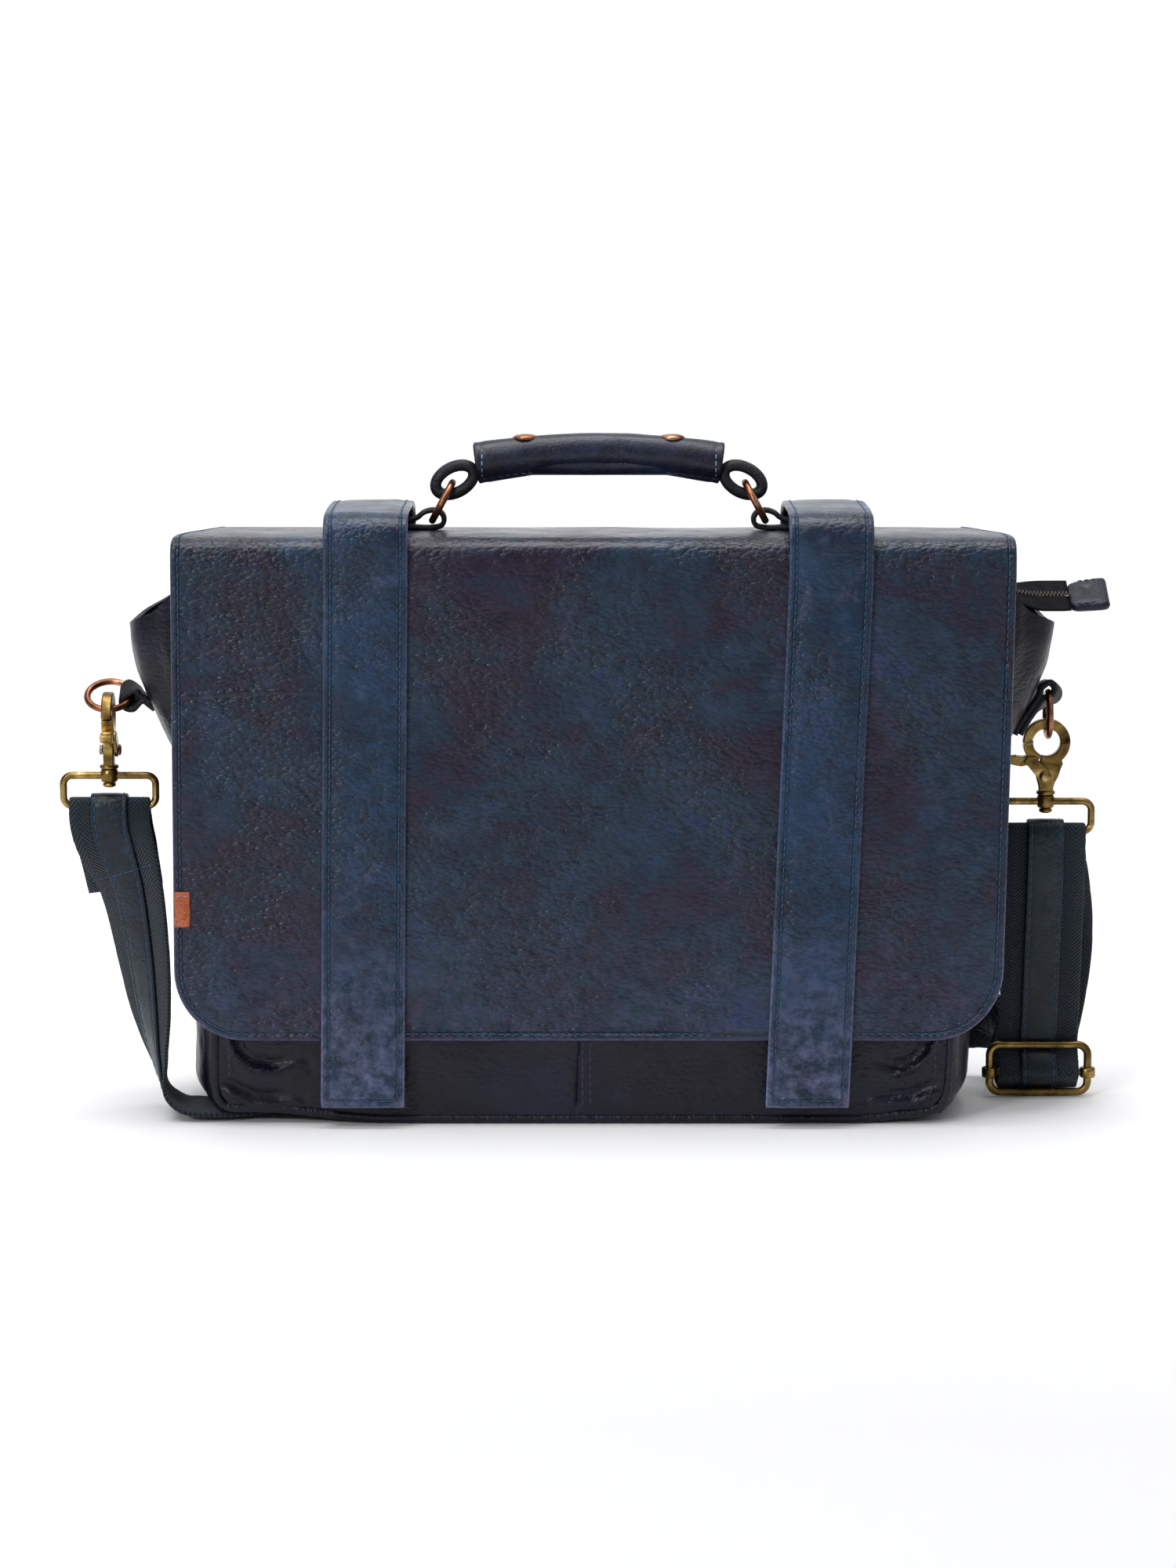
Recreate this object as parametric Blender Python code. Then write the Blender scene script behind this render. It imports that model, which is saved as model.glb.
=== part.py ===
"""Leather messenger bag with a full flap, a top handle and a clip-on shoulder strap.

Frame: X to the wearer's right when the flap faces -Y, Z up. The origin lies on the ground, under the
middle of the bag. Dimensions below are in millimetres, and MM turns them into metres.
"""
import math

import bmesh
import bpy
from mathutils import Matrix, Vector

MM = 0.001
GAP = 0.3                    # room kept between two touching pieces

# body
PANEL_TOP = 264.0            # top edge of the front and back panels
PANEL_HALF_LOW = 171.0       # half width of the panels at the ground
PANEL_HALF_HIGH = 176.0      # and at their top edge
BODY_SHIFT = -6.0            # the body's foot stands a little to the left of the flap
DEPTH_LOW = 50.0             # half depth at the ground
DEPTH_HIGH = 38.0            # half depth at the top edge
DEPTH_BELLY = 12.0
LEATHER = 2.4
PIPING_R = 2.2
SEAM_X = -7.0
GUSSET_BULGE = 13.0          # how far the side walls stand out low down
GUSSET_EAR = 30.0            # extra width of their open upper corners
GUSSET_DIP = 31.0            # how far their top edge drops at mid depth
FOOT_RISE = 5.2              # the bottom corners curl up by this much

# flap
FLAP_HALF = 195.0
FLAP_HALF_BACK = 180.0
FLAP_HALF_REAR = 170.0          # its part sewn on the back panel
LINING_INSET = 7.0
FLAP_THICK = 2.6
FLAP_BOTTOM = 41.0
FLAP_FRONT_TOP = 258.0
FLAP_CORNER = 33.0
FLAP_DRIFT = 5.0             # the right edge comes in by this much towards the bottom
LIFT_AXIS = (46.0, 262.0)    # y, z of the fold at the back
FOLD_AXIS = (-52.0, 263.0)   # y, z of the fold at the front
STRAP_WIDTH = 39.0
STRAP_THICK = 2.4
STRAP_BOTTOM = 10.0
STRAP_TOP_X = {"left": -104.9, "right": 109.6}
STRAP_BOTTOM_X = {"left": -107.5, "right": 99.6}
SNAP_Z = 23.0
SNAP_R = 7.0

# handle
GRIP_ENDS = (-55.4, 60.6)
GRIP_R = 9.0
GRIP_BORE = 6.2
CORE_R = 5.7
GRIP_END_Z = 306.5
GRIP_ARCH = 5.5
HANDLE_RING_R = 10.1
HANDLE_WIRE_R = 1.7
RING_LEAN = math.radians(28.3)
SWING_Z = 288.0              # height of both handle rings' centres
HANDLE_RING_X = {"left": -71.0, "right": 76.2}
HANDLE_LOOP_X = {"left": -66.7, "right": 71.9}
HANDLE_LOOP_Z = 295.6
RIVET_X = {"left": -31.9, "right": 37.0}

# side rings and hooks
SIDE_RING_R = 10.4
SIDE_WIRE_R = 1.6
SIDE_TAB_HOLES = {"left": (-218.6, 196.0), "right": (215.3, 198.0)}    # x, z
LEFT_RING_TILT = math.radians(32.6)
LEFT_RING = (-229.2, 0.0, 196.0)
RIGHT_RING = (215.5, 0.0, 187.2)
LEFT_HOOK = (-228.8, -8.7, 187.4)
RIGHT_HOOK = (214.9, 0.0, 173.8)
EYE_R = 6.5
EYE_OUTER = 11.3
HOOK_THICK = 2.5             # half thickness of the hook's body
PIN = (-1.0, -16.0)          # gate pin, from the eye's centre
BAR_DROP = 28.4              # eye's centre down to the swivel loop's top bar
LOOP_HEIGHT = 14.5
LOOP_HALF = 21.8
LOOP_WIRE_R = 1.75

# shoulder strap
WEB_WIDTH = 38.0
WEB_THICK = 2.2
STRIP_WIDTH = 17.5
STRIP_THICK = 1.2
SLIDER = (214.5, 10.0, 13.9)
SLIDER_HALF = (23.6, 11.5)
SLIDER_WIRE_R = 1.9
SLIDER_BAR_Z = 12.0
STRAP_LAY_Z = 3.5            # strap's middle where it lies flat, leather strip down
STRAP_EDGE_Z = 19.6          # and where it stands on edge
UNDER_TURN_R = 24.0          # its flat turn under the raised corner
FOLD_R = 15.0                # half turns of its spare length

# zip
TAPE_Z = 246.0
TAPE_THICK = 1.6
TAPE_HALF = 14.0
ZIP_MEET_X = 142.0           # the two tapes come together here
ZIP_END_X = 224.5
ZIP_TILT = math.radians(25.0)
SLIDER_X = 152.0
PULL_LIFT = 5.4                 # hinge of the zip's pull above the slider's underside

X_AXIS = Vector((1, 0, 0))
Y_AXIS = Vector((0, 1, 0))
Z_AXIS = Vector((0, 0, 1))
SIDES = ("left", "right")
SIGN = {"left": -1.0, "right": 1.0}


def clear_scene():
    """Start from an empty scene."""
    for old in list(bpy.data.objects):
        bpy.data.objects.remove(old, do_unlink=True)


def material(name, colour, roughness, metallic=0.0):
    """A Principled material of one colour."""
    made = bpy.data.materials.new(name)
    made.use_nodes = True
    shader = made.node_tree.nodes["Principled BSDF"]
    shader.inputs["Base Color"].default_value = (*colour, 1.0)
    shader.inputs["Roughness"].default_value = roughness
    shader.inputs["Metallic"].default_value = metallic
    return made


def mix(low, high, share):
    return low + (high - low) * share


def smooth(share):
    """Eased step from 0 to 1."""
    share = min(1.0, max(0.0, share))
    return share * share * (3.0 - 2.0 * share)


# ---------------------------------------------------------------- mesh builders

def finish(name, bm, mat, origin=(0.0, 0.0, 0.0), turn=0.0, local=False):
    """Make the named object from a mesh in millimetres, with its own origin."""
    shift = Vector((0, 0, 0)) if local else Vector(origin)
    bmesh.ops.translate(bm, verts=bm.verts, vec=-shift)
    bmesh.ops.scale(bm, verts=bm.verts, vec=(MM, MM, MM))
    bmesh.ops.recalc_face_normals(bm, faces=bm.faces)
    mesh = bpy.data.meshes.new(name)
    bm.to_mesh(mesh)
    bm.free()
    mesh.materials.append(mat)
    mesh.shade_smooth()
    mesh.set_sharp_from_angle(angle=math.radians(40))
    made = bpy.data.objects.new(name, mesh)
    made.location = Vector(origin) * MM
    made.rotation_euler = (0.0, 0.0, turn)
    bpy.context.scene.collection.objects.link(made)
    return made


def combine(target, tool, operation):
    """Join or cut with a helper object that isn't a piece of its own."""
    tool.hide_render = True
    tool.display_type = "WIRE"
    step = target.modifiers.new(operation.lower(), "BOOLEAN")
    step.operation = operation
    step.solver = "EXACT"
    step.object = tool


def add_sweep(bm, sections, closed):
    """Skin a row of equal point loops, with end caps unless the row closes on itself."""
    loops = [[bm.verts.new(point) for point in section] for section in sections]
    count = len(loops[0])
    pairs = list(zip(loops, loops[1:]))
    if closed:
        pairs.append((loops[-1], loops[0]))
    for first, second in pairs:
        for i in range(count):
            j = (i + 1) % count
            bm.faces.new((first[i], first[j], second[j], second[i]))
    if not closed:
        bm.faces.new(loops[0][::-1])
        bm.faces.new(loops[-1])


def add_band(bm, sections):
    """Skin a twisted band with triangles whose diagonals match on both of its faces."""
    loops = [[bm.verts.new(point) for point in section] for section in sections]
    count = len(loops[0])
    for first, second in zip(loops, loops[1:]):
        for i in range(count):
            j = (i + 1) % count
            if i < count // 2:
                bm.faces.new((first[i], first[j], second[j]))
                bm.faces.new((first[i], second[j], second[i]))
            else:
                bm.faces.new((first[i], first[j], second[i]))
                bm.faces.new((first[j], second[j], second[i]))
    bm.faces.new(loops[0][::-1])
    bm.faces.new(loops[-1])


def add_sheet(bm, outer, inner):
    """A closed solid between two grids of points with equal rows and columns."""
    sides = [[[bm.verts.new(point) for point in row] for row in grid] for grid in (outer, inner)]
    rows = len(outer)
    columns = len(outer[0])
    for grid in sides:
        for r in range(rows - 1):
            for c in range(columns - 1):
                bm.faces.new((grid[r][c], grid[r][c + 1], grid[r + 1][c + 1], grid[r + 1][c]))
    rim = [(0, c) for c in range(columns)]
    rim += [(r, columns - 1) for r in range(1, rows)]
    rim += [(rows - 1, c) for c in range(columns - 2, -1, -1)]
    rim += [(r, 0) for r in range(rows - 2, 0, -1)]
    for (r0, c0), (r1, c1) in zip(rim, rim[1:] + rim[:1]):
        bm.faces.new((sides[0][r0][c0], sides[0][r1][c1], sides[1][r1][c1], sides[1][r0][c0]))


def add_prism(bm, outline, low, high, place):
    """Extrude an outline of (u, v) points from low to high; place gives each point."""
    add_sweep(bm, [[place(u, v, w) for u, v in outline] for w in (low, high)], False)


def front_on(u, v, w):
    """Outline in X and Z, extruded along Y."""
    return Vector((u, w, v))


def add_turned(bm, profile, centre, axis, sides=12):
    """A solid of revolution from (radius, height) points, closed by its end caps."""
    axis = Vector(axis)
    across = axis.orthogonal().normalized()
    other = axis.cross(across)
    centre = Vector(centre)
    sections = []
    for radius, height in profile:
        ring = []
        for i in range(sides):
            angle = 2 * math.pi * i / sides
            spoke = across * math.cos(angle) + other * math.sin(angle)
            ring.append(centre + axis * height + radius * spoke)
        sections.append(ring)
    add_sweep(bm, sections, False)


def tube_sections(path, radius, sides, closed, up):
    """Round sections along a path that lies roughly in the plane square to up."""
    sections = []
    count = len(path)
    for i, point in enumerate(path):
        before = path[i - 1] if (closed or i > 0) else point
        after = path[(i + 1) % count] if (closed or i < count - 1) else point
        along = (after - before).normalized()
        side = along.cross(up).normalized()
        top = side.cross(along)
        ring = []
        for k in range(sides):
            angle = 2 * math.pi * (k + 0.5) / sides
            ring.append(point + radius * (side * math.cos(angle) + top * math.sin(angle)))
        sections.append(ring)
    return sections


def circle_path(centre, first, second, radius, count):
    """Points on a circle spanned by two unit directions."""
    centre = Vector(centre)
    points = []
    for i in range(count):
        angle = 2 * math.pi * i / count
        points.append(centre + radius * (first * math.cos(angle) + second * math.sin(angle)))
    return points


def rounded_rectangle(half_u, half_v, corner, steps=3):
    """Outline with round corners, counter-clockwise from the lower right."""
    points = []
    for turn, (u, v) in enumerate(((1, -1), (1, 1), (-1, 1), (-1, -1))):
        for i in range(steps + 1):
            angle = math.pi / 2 * (turn - 1 + i / steps)
            points.append((u * (half_u - corner) + corner * math.cos(angle),
                           v * (half_v - corner) + corner * math.sin(angle)))
    return points


def spline(points, short=4.0, long=15.0):
    """Centripetal Catmull-Rom curve through (x, y, z, ax, ay, az) points, finer where it twists."""
    def blend(p, q, tp, tq, t):
        share = (t - tp) / (tq - tp)
        return [mix(a, b, share) for a, b in zip(p, q)]

    first = [2 * a - b for a, b in zip(points[0], points[1])]
    last = [2 * a - b for a, b in zip(points[-1], points[-2])]
    guide = [first] + [list(p) for p in points] + [last]
    result = []
    for p0, p1, p2, p3 in zip(guide, guide[1:], guide[2:], guide[3:]):
        knots = [0.0]
        for a, b in ((p0, p1), (p1, p2), (p2, p3)):
            knots.append(knots[-1] + math.sqrt(math.dist(a[:3], b[:3])))
        t0, t1, t2, t3 = knots
        span = math.dist(p1[:3], p2[:3])
        twist = math.degrees(Vector(p1[3:6]).angle(Vector(p2[3:6])))
        steps = max(1, round(span / (short if span < 9.0 else long)), math.ceil(twist / 10.0))
        for i in range(steps):
            t = mix(t1, t2, i / steps)
            a1 = blend(p0, p1, t0, t1, t)
            a2 = blend(p1, p2, t1, t2, t)
            a3 = blend(p2, p3, t2, t3, t)
            b1 = blend(a1, a2, t0, t2, t)
            b2 = blend(a2, a3, t1, t3, t)
            result.append(blend(b1, b2, t1, t2, t))
    result.append(list(points[-1]))
    return result


def band_sections(stations, width, low, high, middle=None):
    """Flat sections along (x, y, z, ax, ay, az) stations; low and high are along the band's face normal.

    A middle width adds two corners on each face, so the faces follow a narrower band sewn on them.
    """
    columns = [width / 2, -width / 2]
    if middle:
        columns = [width / 2, middle / 2, -middle / 2, -width / 2]
    places = [Vector(s[:3]) for s in stations]
    sections = []
    for i, station in enumerate(stations):
        along = (places[min(i + 1, len(places) - 1)] - places[max(i - 1, 0)]).normalized()
        across = Vector(station[3:6])
        across = (across - along * across.dot(along)).normalized()
        face = along.cross(across)
        sections.append([places[i] + across * c + face * high for c in columns]
                        + [places[i] + across * c + face * low for c in reversed(columns)])
    return sections


def flat_band(path, across, width, thick):
    """Sections of a leather band whose middle follows a plane path."""
    stations = [(*point, *across) for point in path]
    return band_sections(stations, width, -thick / 2, thick / 2)


# ---------------------------------------------------------------- body

def body_middle(z):
    return BODY_SHIFT * (1.0 - z / PANEL_TOP)


def panel_half(z):
    return mix(PANEL_HALF_LOW, PANEL_HALF_HIGH, z / PANEL_TOP)


def body_depth(z):
    share = z / PANEL_TOP
    return mix(DEPTH_LOW, DEPTH_HIGH, share * share) + DEPTH_BELLY * share * (1.0 - share)


def foot(x):
    """Height of the base above the ground: flat in the middle, curled up at both ends."""
    left = smooth((-x - 110.0) / 20.0)
    right = smooth((x - 142.0) / 24.0)
    return FOOT_RISE * max(left, 0.8 * right)


def panel_margin(z):
    """Room for the piping at the panel's edge, more where it rounds the lower corner."""
    return 2.7 + 9.5 * max(0.0, 1.0 - (z - 5.0) / 13.0) ** 2


def build_panels(leather):
    levels = (0.0, 4.0, 9.0, 50.0, 95.0, 140.0, 185.0, 225.0)

    def panel(name, side, x_range, mat):
        outer = []
        inner = []
        columns = 9 if None in x_range and x_range[0] == x_range[1] else 6
        for level in levels + (PANEL_TOP,):
            outer_row = []
            inner_row = []
            for c in range(columns):
                share = c / (columns - 1)
                reach = panel_half(level) - panel_margin(level + 5.0)
                low = -reach if x_range[0] is None else x_range[0]
                high = reach if x_range[1] is None else x_range[1]
                x = mix(low, high, share) + body_middle(level)
                z = max(level, foot(x) + level * (1 - level / PANEL_TOP) + 2 * PIPING_R + 0.6)
                y = side * body_depth(z)
                outer_row.append(Vector((x, y, z)))
                inner_row.append(Vector((x, y - side * LEATHER, z)))
            outer.append(outer_row)
            inner.append(inner_row)
        bm = bmesh.new()
        add_sheet(bm, outer, inner)
        finish(name, bm, mat)

    seam = SEAM_X - BODY_SHIFT
    panel("front_panel_left", -1, (None, seam - GAP / 2), leather)
    panel("front_panel_right", -1, (seam + GAP / 2, None), leather)
    panel("back_panel", 1, (None, None), leather)


def gusset_point(sign, z, angle, inset=0.0):
    """A point of the side wall; angle runs from 0 at the front piping to pi at the back."""
    bulge = GUSSET_BULGE + GUSSET_EAR * smooth((z - 135.0) / 95.0)
    depth = body_depth(z) - 4.0
    x = panel_half(z) + (bulge - inset) * math.sin(angle)
    y = -(depth - inset) * math.cos(angle)
    return Vector((sign * x + body_middle(z), y, z))


def build_gussets(leather):
    rows = 8
    columns = 9
    for side in SIDES:
        sign = SIGN[side]
        grids = []
        for inset in (0.0, LEATHER):
            grid = []
            for r in range(rows):
                row = []
                for c in range(columns):
                    angle = math.pi * c / (columns - 1)
                    top = PANEL_TOP - 2.0 - GUSSET_DIP * math.sin(angle)
                    low = foot(sign * (PANEL_HALF_LOW + 5) + BODY_SHIFT) + 5.0
                    row.append(gusset_point(sign, mix(low, top, r / (rows - 1)), angle, inset))
                grid.append(row)
            grids.append(grid)
        bm = bmesh.new()
        add_sheet(bm, *grids)
        finish("gusset_" + side, bm, leather)


def build_base(leather, board):
    half_depth = DEPTH_LOW - 4.0
    columns = [mix(1 - PANEL_HALF_LOW, PANEL_HALF_LOW - 1, i / 30) + BODY_SHIFT for i in range(31)]
    grids = []
    for lift in (0.0, LEATHER):
        grids.append([[Vector((x, y, foot(x) + lift)) for x in columns]
                      for y in (-half_depth, half_depth)])
    bm = bmesh.new()
    add_sheet(bm, *grids)
    finish("base_panel", bm, leather)

    bm = bmesh.new()
    grids = []
    for lift in (LEATHER + GAP, LEATHER + GAP + 2.5):
        grids.append([[Vector((x, y, foot(x) + lift)) for x in columns[2:-2]] for y in (-42.0, 42.0)])
    add_sheet(bm, *grids)
    finish("base_board", bm, board)


def build_piping(leather):
    """One cord of piping down, along and up the edge of each big panel."""
    for name, side in (("piping_front", -1), ("piping_back", 1)):
        path = []
        corner_z = 16.0
        for sign in (-1, 1):
            leg = []
            for i in range(7):
                z = mix(PANEL_TOP - 1.0, corner_z, i / 6)
                leg.append(Vector((sign * panel_half(z) + body_middle(z), side * (body_depth(z) - 1), z)))
            for share in (0.35, 0.7, 1.0):
                x = sign * (panel_half(0) - 9.0 * share ** 2) + BODY_SHIFT
                z = mix(corner_z, foot(x) + PIPING_R + 0.1, math.sin(share * math.pi / 2))
                leg.append(Vector((x, side * (DEPTH_LOW - 1), z)))
            path.append(leg)
        middle = []
        ends = (path[0][-1].x, path[1][-1].x)
        for i in range(1, 16):
            x = mix(ends[0], ends[1], i / 16)
            middle.append(Vector((x, side * (DEPTH_LOW - 1), foot(x) + PIPING_R + 0.1)))
        bm = bmesh.new()
        route = path[0] + middle + path[1][::-1]
        add_sweep(bm, tube_sections(route, PIPING_R, 6, False, Y_AXIS), False)
        finish(name, bm, leather)


def lining_ring(z, inset, corner):
    """Rounded outline of the lining at a height."""
    half_x = panel_half(z) - 3.5 - inset
    half_y = body_depth(z) - LEATHER - GAP - inset
    middle = body_middle(z)
    return [Vector((u + middle, v, z)) for u, v in rounded_rectangle(half_x, half_y, corner, 2)]


def build_lining(cloth, pad):
    """Open cloth sack inside the leather, and the padded divider that makes the laptop sleeve."""
    bottom = 12.0
    top = 242.0
    levels = [mix(bottom, top, i / 5) for i in range(6)]
    sections = [lining_ring(z, 0.4, 12.0) for z in levels]
    sections += [lining_ring(z, 1.4, 11.0) for z in levels[::-1]]
    sections[-1] = [point + Vector((0, 0, 1.0)) for point in sections[-1]]
    bm = bmesh.new()
    add_sweep(bm, sections, False)
    finish("lining", bm, cloth)

    outline = [(-158.0, 14.0), (146.0, 14.0), (152.0, 20.0), (156.0, 206.0), (146.0, 216.0),
               (-150.0, 216.0), (-160.0, 206.0), (-164.0, 20.0)]
    bm = bmesh.new()
    add_prism(bm, outline, 14.0, 20.0, front_on)
    finish("laptop_divider", bm, pad)


# ---------------------------------------------------------------- zip

def zip_height(x):
    """Drop and tilt of the closed zip towards its free end."""
    share = smooth((x - 206.0) / 17.0)
    return TAPE_Z - 5.0 * share, ZIP_TILT * share


def build_zip(tape, leather, brass):
    stations = (-166.0, -120.0, -60.0, 0.0, 60.0, 110.0, ZIP_MEET_X, 160.0, 172.0, 190.0, 206.0,
                212.0, 218.0, ZIP_END_X)
    for name, side in (("zip_tape_front", -1), ("zip_tape_back", 1)):
        grids = []
        for lift in (-TAPE_THICK / 2, TAPE_THICK / 2):
            rows = []
            for x in stations:
                z, tilt = zip_height(x)
                mouth = mix(12.0, 0.2, smooth((x + 166.0) / (ZIP_MEET_X + 166.0)))
                edge = mix(body_depth(TAPE_Z) - LEATHER - 2 * GAP, TAPE_HALF, smooth((x - 150.0) / 24.0))
                row = []
                for y in (side * mouth, side * mix(mouth, edge, 0.5), side * edge):
                    row.append(Vector((x, y * math.cos(tilt) - lift * math.sin(tilt),
                                       z + y * math.sin(tilt) + lift * math.cos(tilt))))
                rows.append(row)
            grids.append(rows)
        bm = bmesh.new()
        add_sheet(bm, *grids)
        finish(name, bm, tape)

    z, tilt = zip_height(ZIP_END_X)
    bm = bmesh.new()
    outline = rounded_rectangle(9.0, 13.0, 3.0, 2)
    turn = Matrix.Rotation(tilt, 3, "X")

    def place(u, v, w):
        return Vector((ZIP_END_X + GAP + 9.0 + u, 0, z)) + turn @ Vector((0, v, w))

    add_prism(bm, outline, -2.4, 2.4, place)
    finish("zip_end_tab", bm, leather)

    floor = TAPE_Z + TAPE_THICK / 2 + GAP
    bm = bmesh.new()
    outline = [(-6.0, -3.2), (2.0, -5.0), (6.0, -4.2), (6.0, 4.2), (2.0, 5.0), (-6.0, 3.2)]
    add_prism(bm, outline, floor, floor + 3.2, lambda u, v, w: Vector((SLIDER_X + u, v, w)))
    finish("zip_slider", bm, brass, (SLIDER_X, 0.0, floor))

    pivot = (SLIDER_X, 0.0, floor + PULL_LIFT)
    bm = bmesh.new()
    outline = [(1.5, -1.6), (-3.0, -1.6), (-6.0, -3.2), (-15.0, -3.2), (-17.0, -1.5), (-17.0, 1.5),
               (-15.0, 3.2), (-6.0, 3.2), (-3.0, 1.6), (1.5, 1.6)]
    add_prism(bm, outline, pivot[2] - 0.7, pivot[2] + 0.7, lambda u, v, w: Vector((SLIDER_X + u, v, w)))
    finish("zip_pull", bm, brass, pivot)


# ---------------------------------------------------------------- flap

def flap_front_y(z):
    """Outer face of the hanging part of the flap."""
    return -mix(50.3, 58.3, (FLAP_FRONT_TOP - z) / (FLAP_FRONT_TOP - FLAP_BOTTOM))


def flap_front_edges(z, inset=0.0):
    """Left and right edge of the hanging part at a height, with round lower corners."""
    rise = max(0.0, FLAP_BOTTOM + FLAP_CORNER - z)
    corner = FLAP_CORNER - math.sqrt(max(0.0, FLAP_CORNER ** 2 - rise ** 2))
    drift = FLAP_DRIFT * (FLAP_FRONT_TOP - z) / (FLAP_FRONT_TOP - FLAP_BOTTOM)
    return inset + corner - FLAP_HALF, FLAP_HALF - drift - corner - inset


def offset_path(path, distance):
    """Move a (y, z) path sideways, to its left."""
    moved = []
    for i, point in enumerate(path):
        before = path[max(i - 1, 0)]
        after = path[min(i + 1, len(path) - 1)]
        along = Vector((after[0] - before[0], after[1] - before[1])).normalized()
        moved.append((point[0] + along.y * distance, point[1] - along.x * distance))
    return moved


FLAP_TOP_PATH = ((47.6, 266.5), (46.4, 269.6), (43.0, 271.8), (36.0, 272.8), (0.0, 274.3),
                 (-36.0, 275.0), (-43.5, 273.9), (-48.0, 271.0), (-49.5, 267.5))


def build_flap(leather, lining):
    lift_origin = (0.0, *LIFT_AXIS)
    fold_origin = (0.0, *FOLD_AXIS)
    columns = 9

    grids = []
    for path in (FLAP_TOP_PATH, offset_path(FLAP_TOP_PATH, -FLAP_THICK)):
        rows = []
        for y, z in path:
            half = mix(FLAP_HALF_BACK, FLAP_HALF, smooth((46.0 - y) / 92.0))
            rows.append([Vector((mix(-half, half, c / (columns - 1)), y, z))
                         for c in range(columns)])
        grids.append(rows)
    bm = bmesh.new()
    add_sheet(bm, *grids)
    finish("flap_top", bm, leather, lift_origin)

    levels = [FLAP_FRONT_TOP, 210.0, 160.0, 110.0]
    levels += [FLAP_BOTTOM + FLAP_CORNER * (1 - math.sin(math.pi / 2 * i / 5)) for i in range(6)]
    layers = (("flap_front", leather, 0.0, FLAP_THICK, 0.0),
              ("flap_lining", lining, FLAP_THICK + GAP, FLAP_THICK + 1.0, LINING_INSET))
    for name, mat, outer, inner, inset in layers:
        grids = []
        for depth in (outer, inner):
            rows = []
            for z in levels:
                left, right = flap_front_edges(z, inset)
                share = (z - FLAP_BOTTOM) / (FLAP_FRONT_TOP - FLAP_BOTTOM)
                height = mix(FLAP_BOTTOM + inset, FLAP_FRONT_TOP - inset / 2, share)
                row = []
                for c in range(columns):
                    x = mix(left, right, c / (columns - 1))
                    row.append(Vector((x, flap_front_y(height) + depth, height)))
                rows.append(row)
            grids.append(rows)
        bm = bmesh.new()
        add_sheet(bm, *grids)
        finish(name, bm, mat, fold_origin)

    grids = []
    for depth in (GAP, GAP + FLAP_THICK):
        rows = []
        for z in (200.0, 217.0, 234.0, 252.0):
            row = []
            for c in range(7):
                x = mix(-FLAP_HALF_REAR, FLAP_HALF_REAR, c / 6)
                row.append(Vector((x, body_depth(z) + depth, z)))
            rows.append(row)
        grids.append(rows)
    bm = bmesh.new()
    add_sheet(bm, *grids)
    finish("flap_rear", bm, leather)


ARCH_PATH = ((-52.0, 268.6), (-52.5, 275.0), (-50.5, 280.6), (-45.0, 283.9), (-34.0, 285.2),
             (0.0, 285.6), (30.0, 284.8), (41.0, 282.8), (47.5, 278.5), (50.0, 273.0), (50.0, 267.6))


def build_straps(leather, brass):
    """The two straps sewn on the flap, in three lengths each, and their magnetic snaps."""
    lift_origin = (0.0, *LIFT_AXIS)
    fold_origin = (0.0, *FOLD_AXIS)
    half = STRAP_THICK / 2
    for side in SIDES:
        top_x = STRAP_TOP_X[side]
        low_x = STRAP_BOTTOM_X[side]

        path = [Vector((top_x, y, z)) for y, z in ARCH_PATH]
        bm = bmesh.new()
        add_sweep(bm, flat_band(path, X_AXIS, STRAP_WIDTH, STRAP_THICK), False)
        finish("strap_arch_" + side, bm, leather, lift_origin)

        path = []
        for i in range(6):
            z = mix(FLAP_FRONT_TOP, STRAP_BOTTOM, i / 5)
            y = flap_front_y(z) - GAP - half
            path.append(Vector((mix(top_x, low_x, i / 5), y, z)))
        bm = bmesh.new()
        add_sweep(bm, flat_band(path, X_AXIS, STRAP_WIDTH, STRAP_THICK), False)
        finish("flap_strap_" + side, bm, leather, fold_origin)

        path = []
        for i in range(4):
            z = mix(251.0, 190.0, i / 3)
            path.append(Vector((top_x, body_depth(z) + 3 * GAP + FLAP_THICK + half, z)))
        bm = bmesh.new()
        add_sweep(bm, flat_band(path, X_AXIS, STRAP_WIDTH, STRAP_THICK), False)
        finish("strap_rear_" + side, bm, leather)

        panel_y = -body_depth(SNAP_Z)
        strap_y = flap_front_y(SNAP_Z + SNAP_R) - GAP
        snap_x = mix(low_x, top_x, 0.05)
        bm = bmesh.new()
        profile = ((SNAP_R, 0.0), (SNAP_R, 2.4), (4.0, 3.2))
        add_turned(bm, profile, (snap_x, panel_y - 0.6, SNAP_Z), -Y_AXIS)
        finish("snap_socket_" + side, bm, brass)
        bm = bmesh.new()
        reach = panel_y - 4.2 - strap_y
        profile = ((SNAP_R, 0.0), (SNAP_R, reach - 1.4), (5.6, reach - 0.5))
        add_turned(bm, profile, (snap_x, strap_y + GAP, SNAP_Z), Y_AXIS)
        finish("snap_stud_" + side, bm, brass, fold_origin)


def build_edge_tag(leather):
    z = 103.0
    y = flap_front_y(z) - GAP
    bm = bmesh.new()
    outline = [(-194.2, 95.0), (-187.0, 94.6), (-186.6, 111.0), (-193.8, 111.2)]
    add_prism(bm, outline, y - 1.2, y - 0.3, front_on)
    finish("edge_tag", bm, leather, (0.0, *FOLD_AXIS))


# ---------------------------------------------------------------- handle

def grip_height(x):
    middle = sum(GRIP_ENDS) / 2
    return GRIP_END_Z + GRIP_ARCH * math.cos(math.pi * (x - middle) / (GRIP_ENDS[1] - GRIP_ENDS[0]))


def grip_path(margin, count):
    xs = [mix(GRIP_ENDS[0] + margin, GRIP_ENDS[1] - margin, i / (count - 1)) for i in range(count)]
    return [Vector((x, 0, grip_height(x))) for x in xs]


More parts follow.
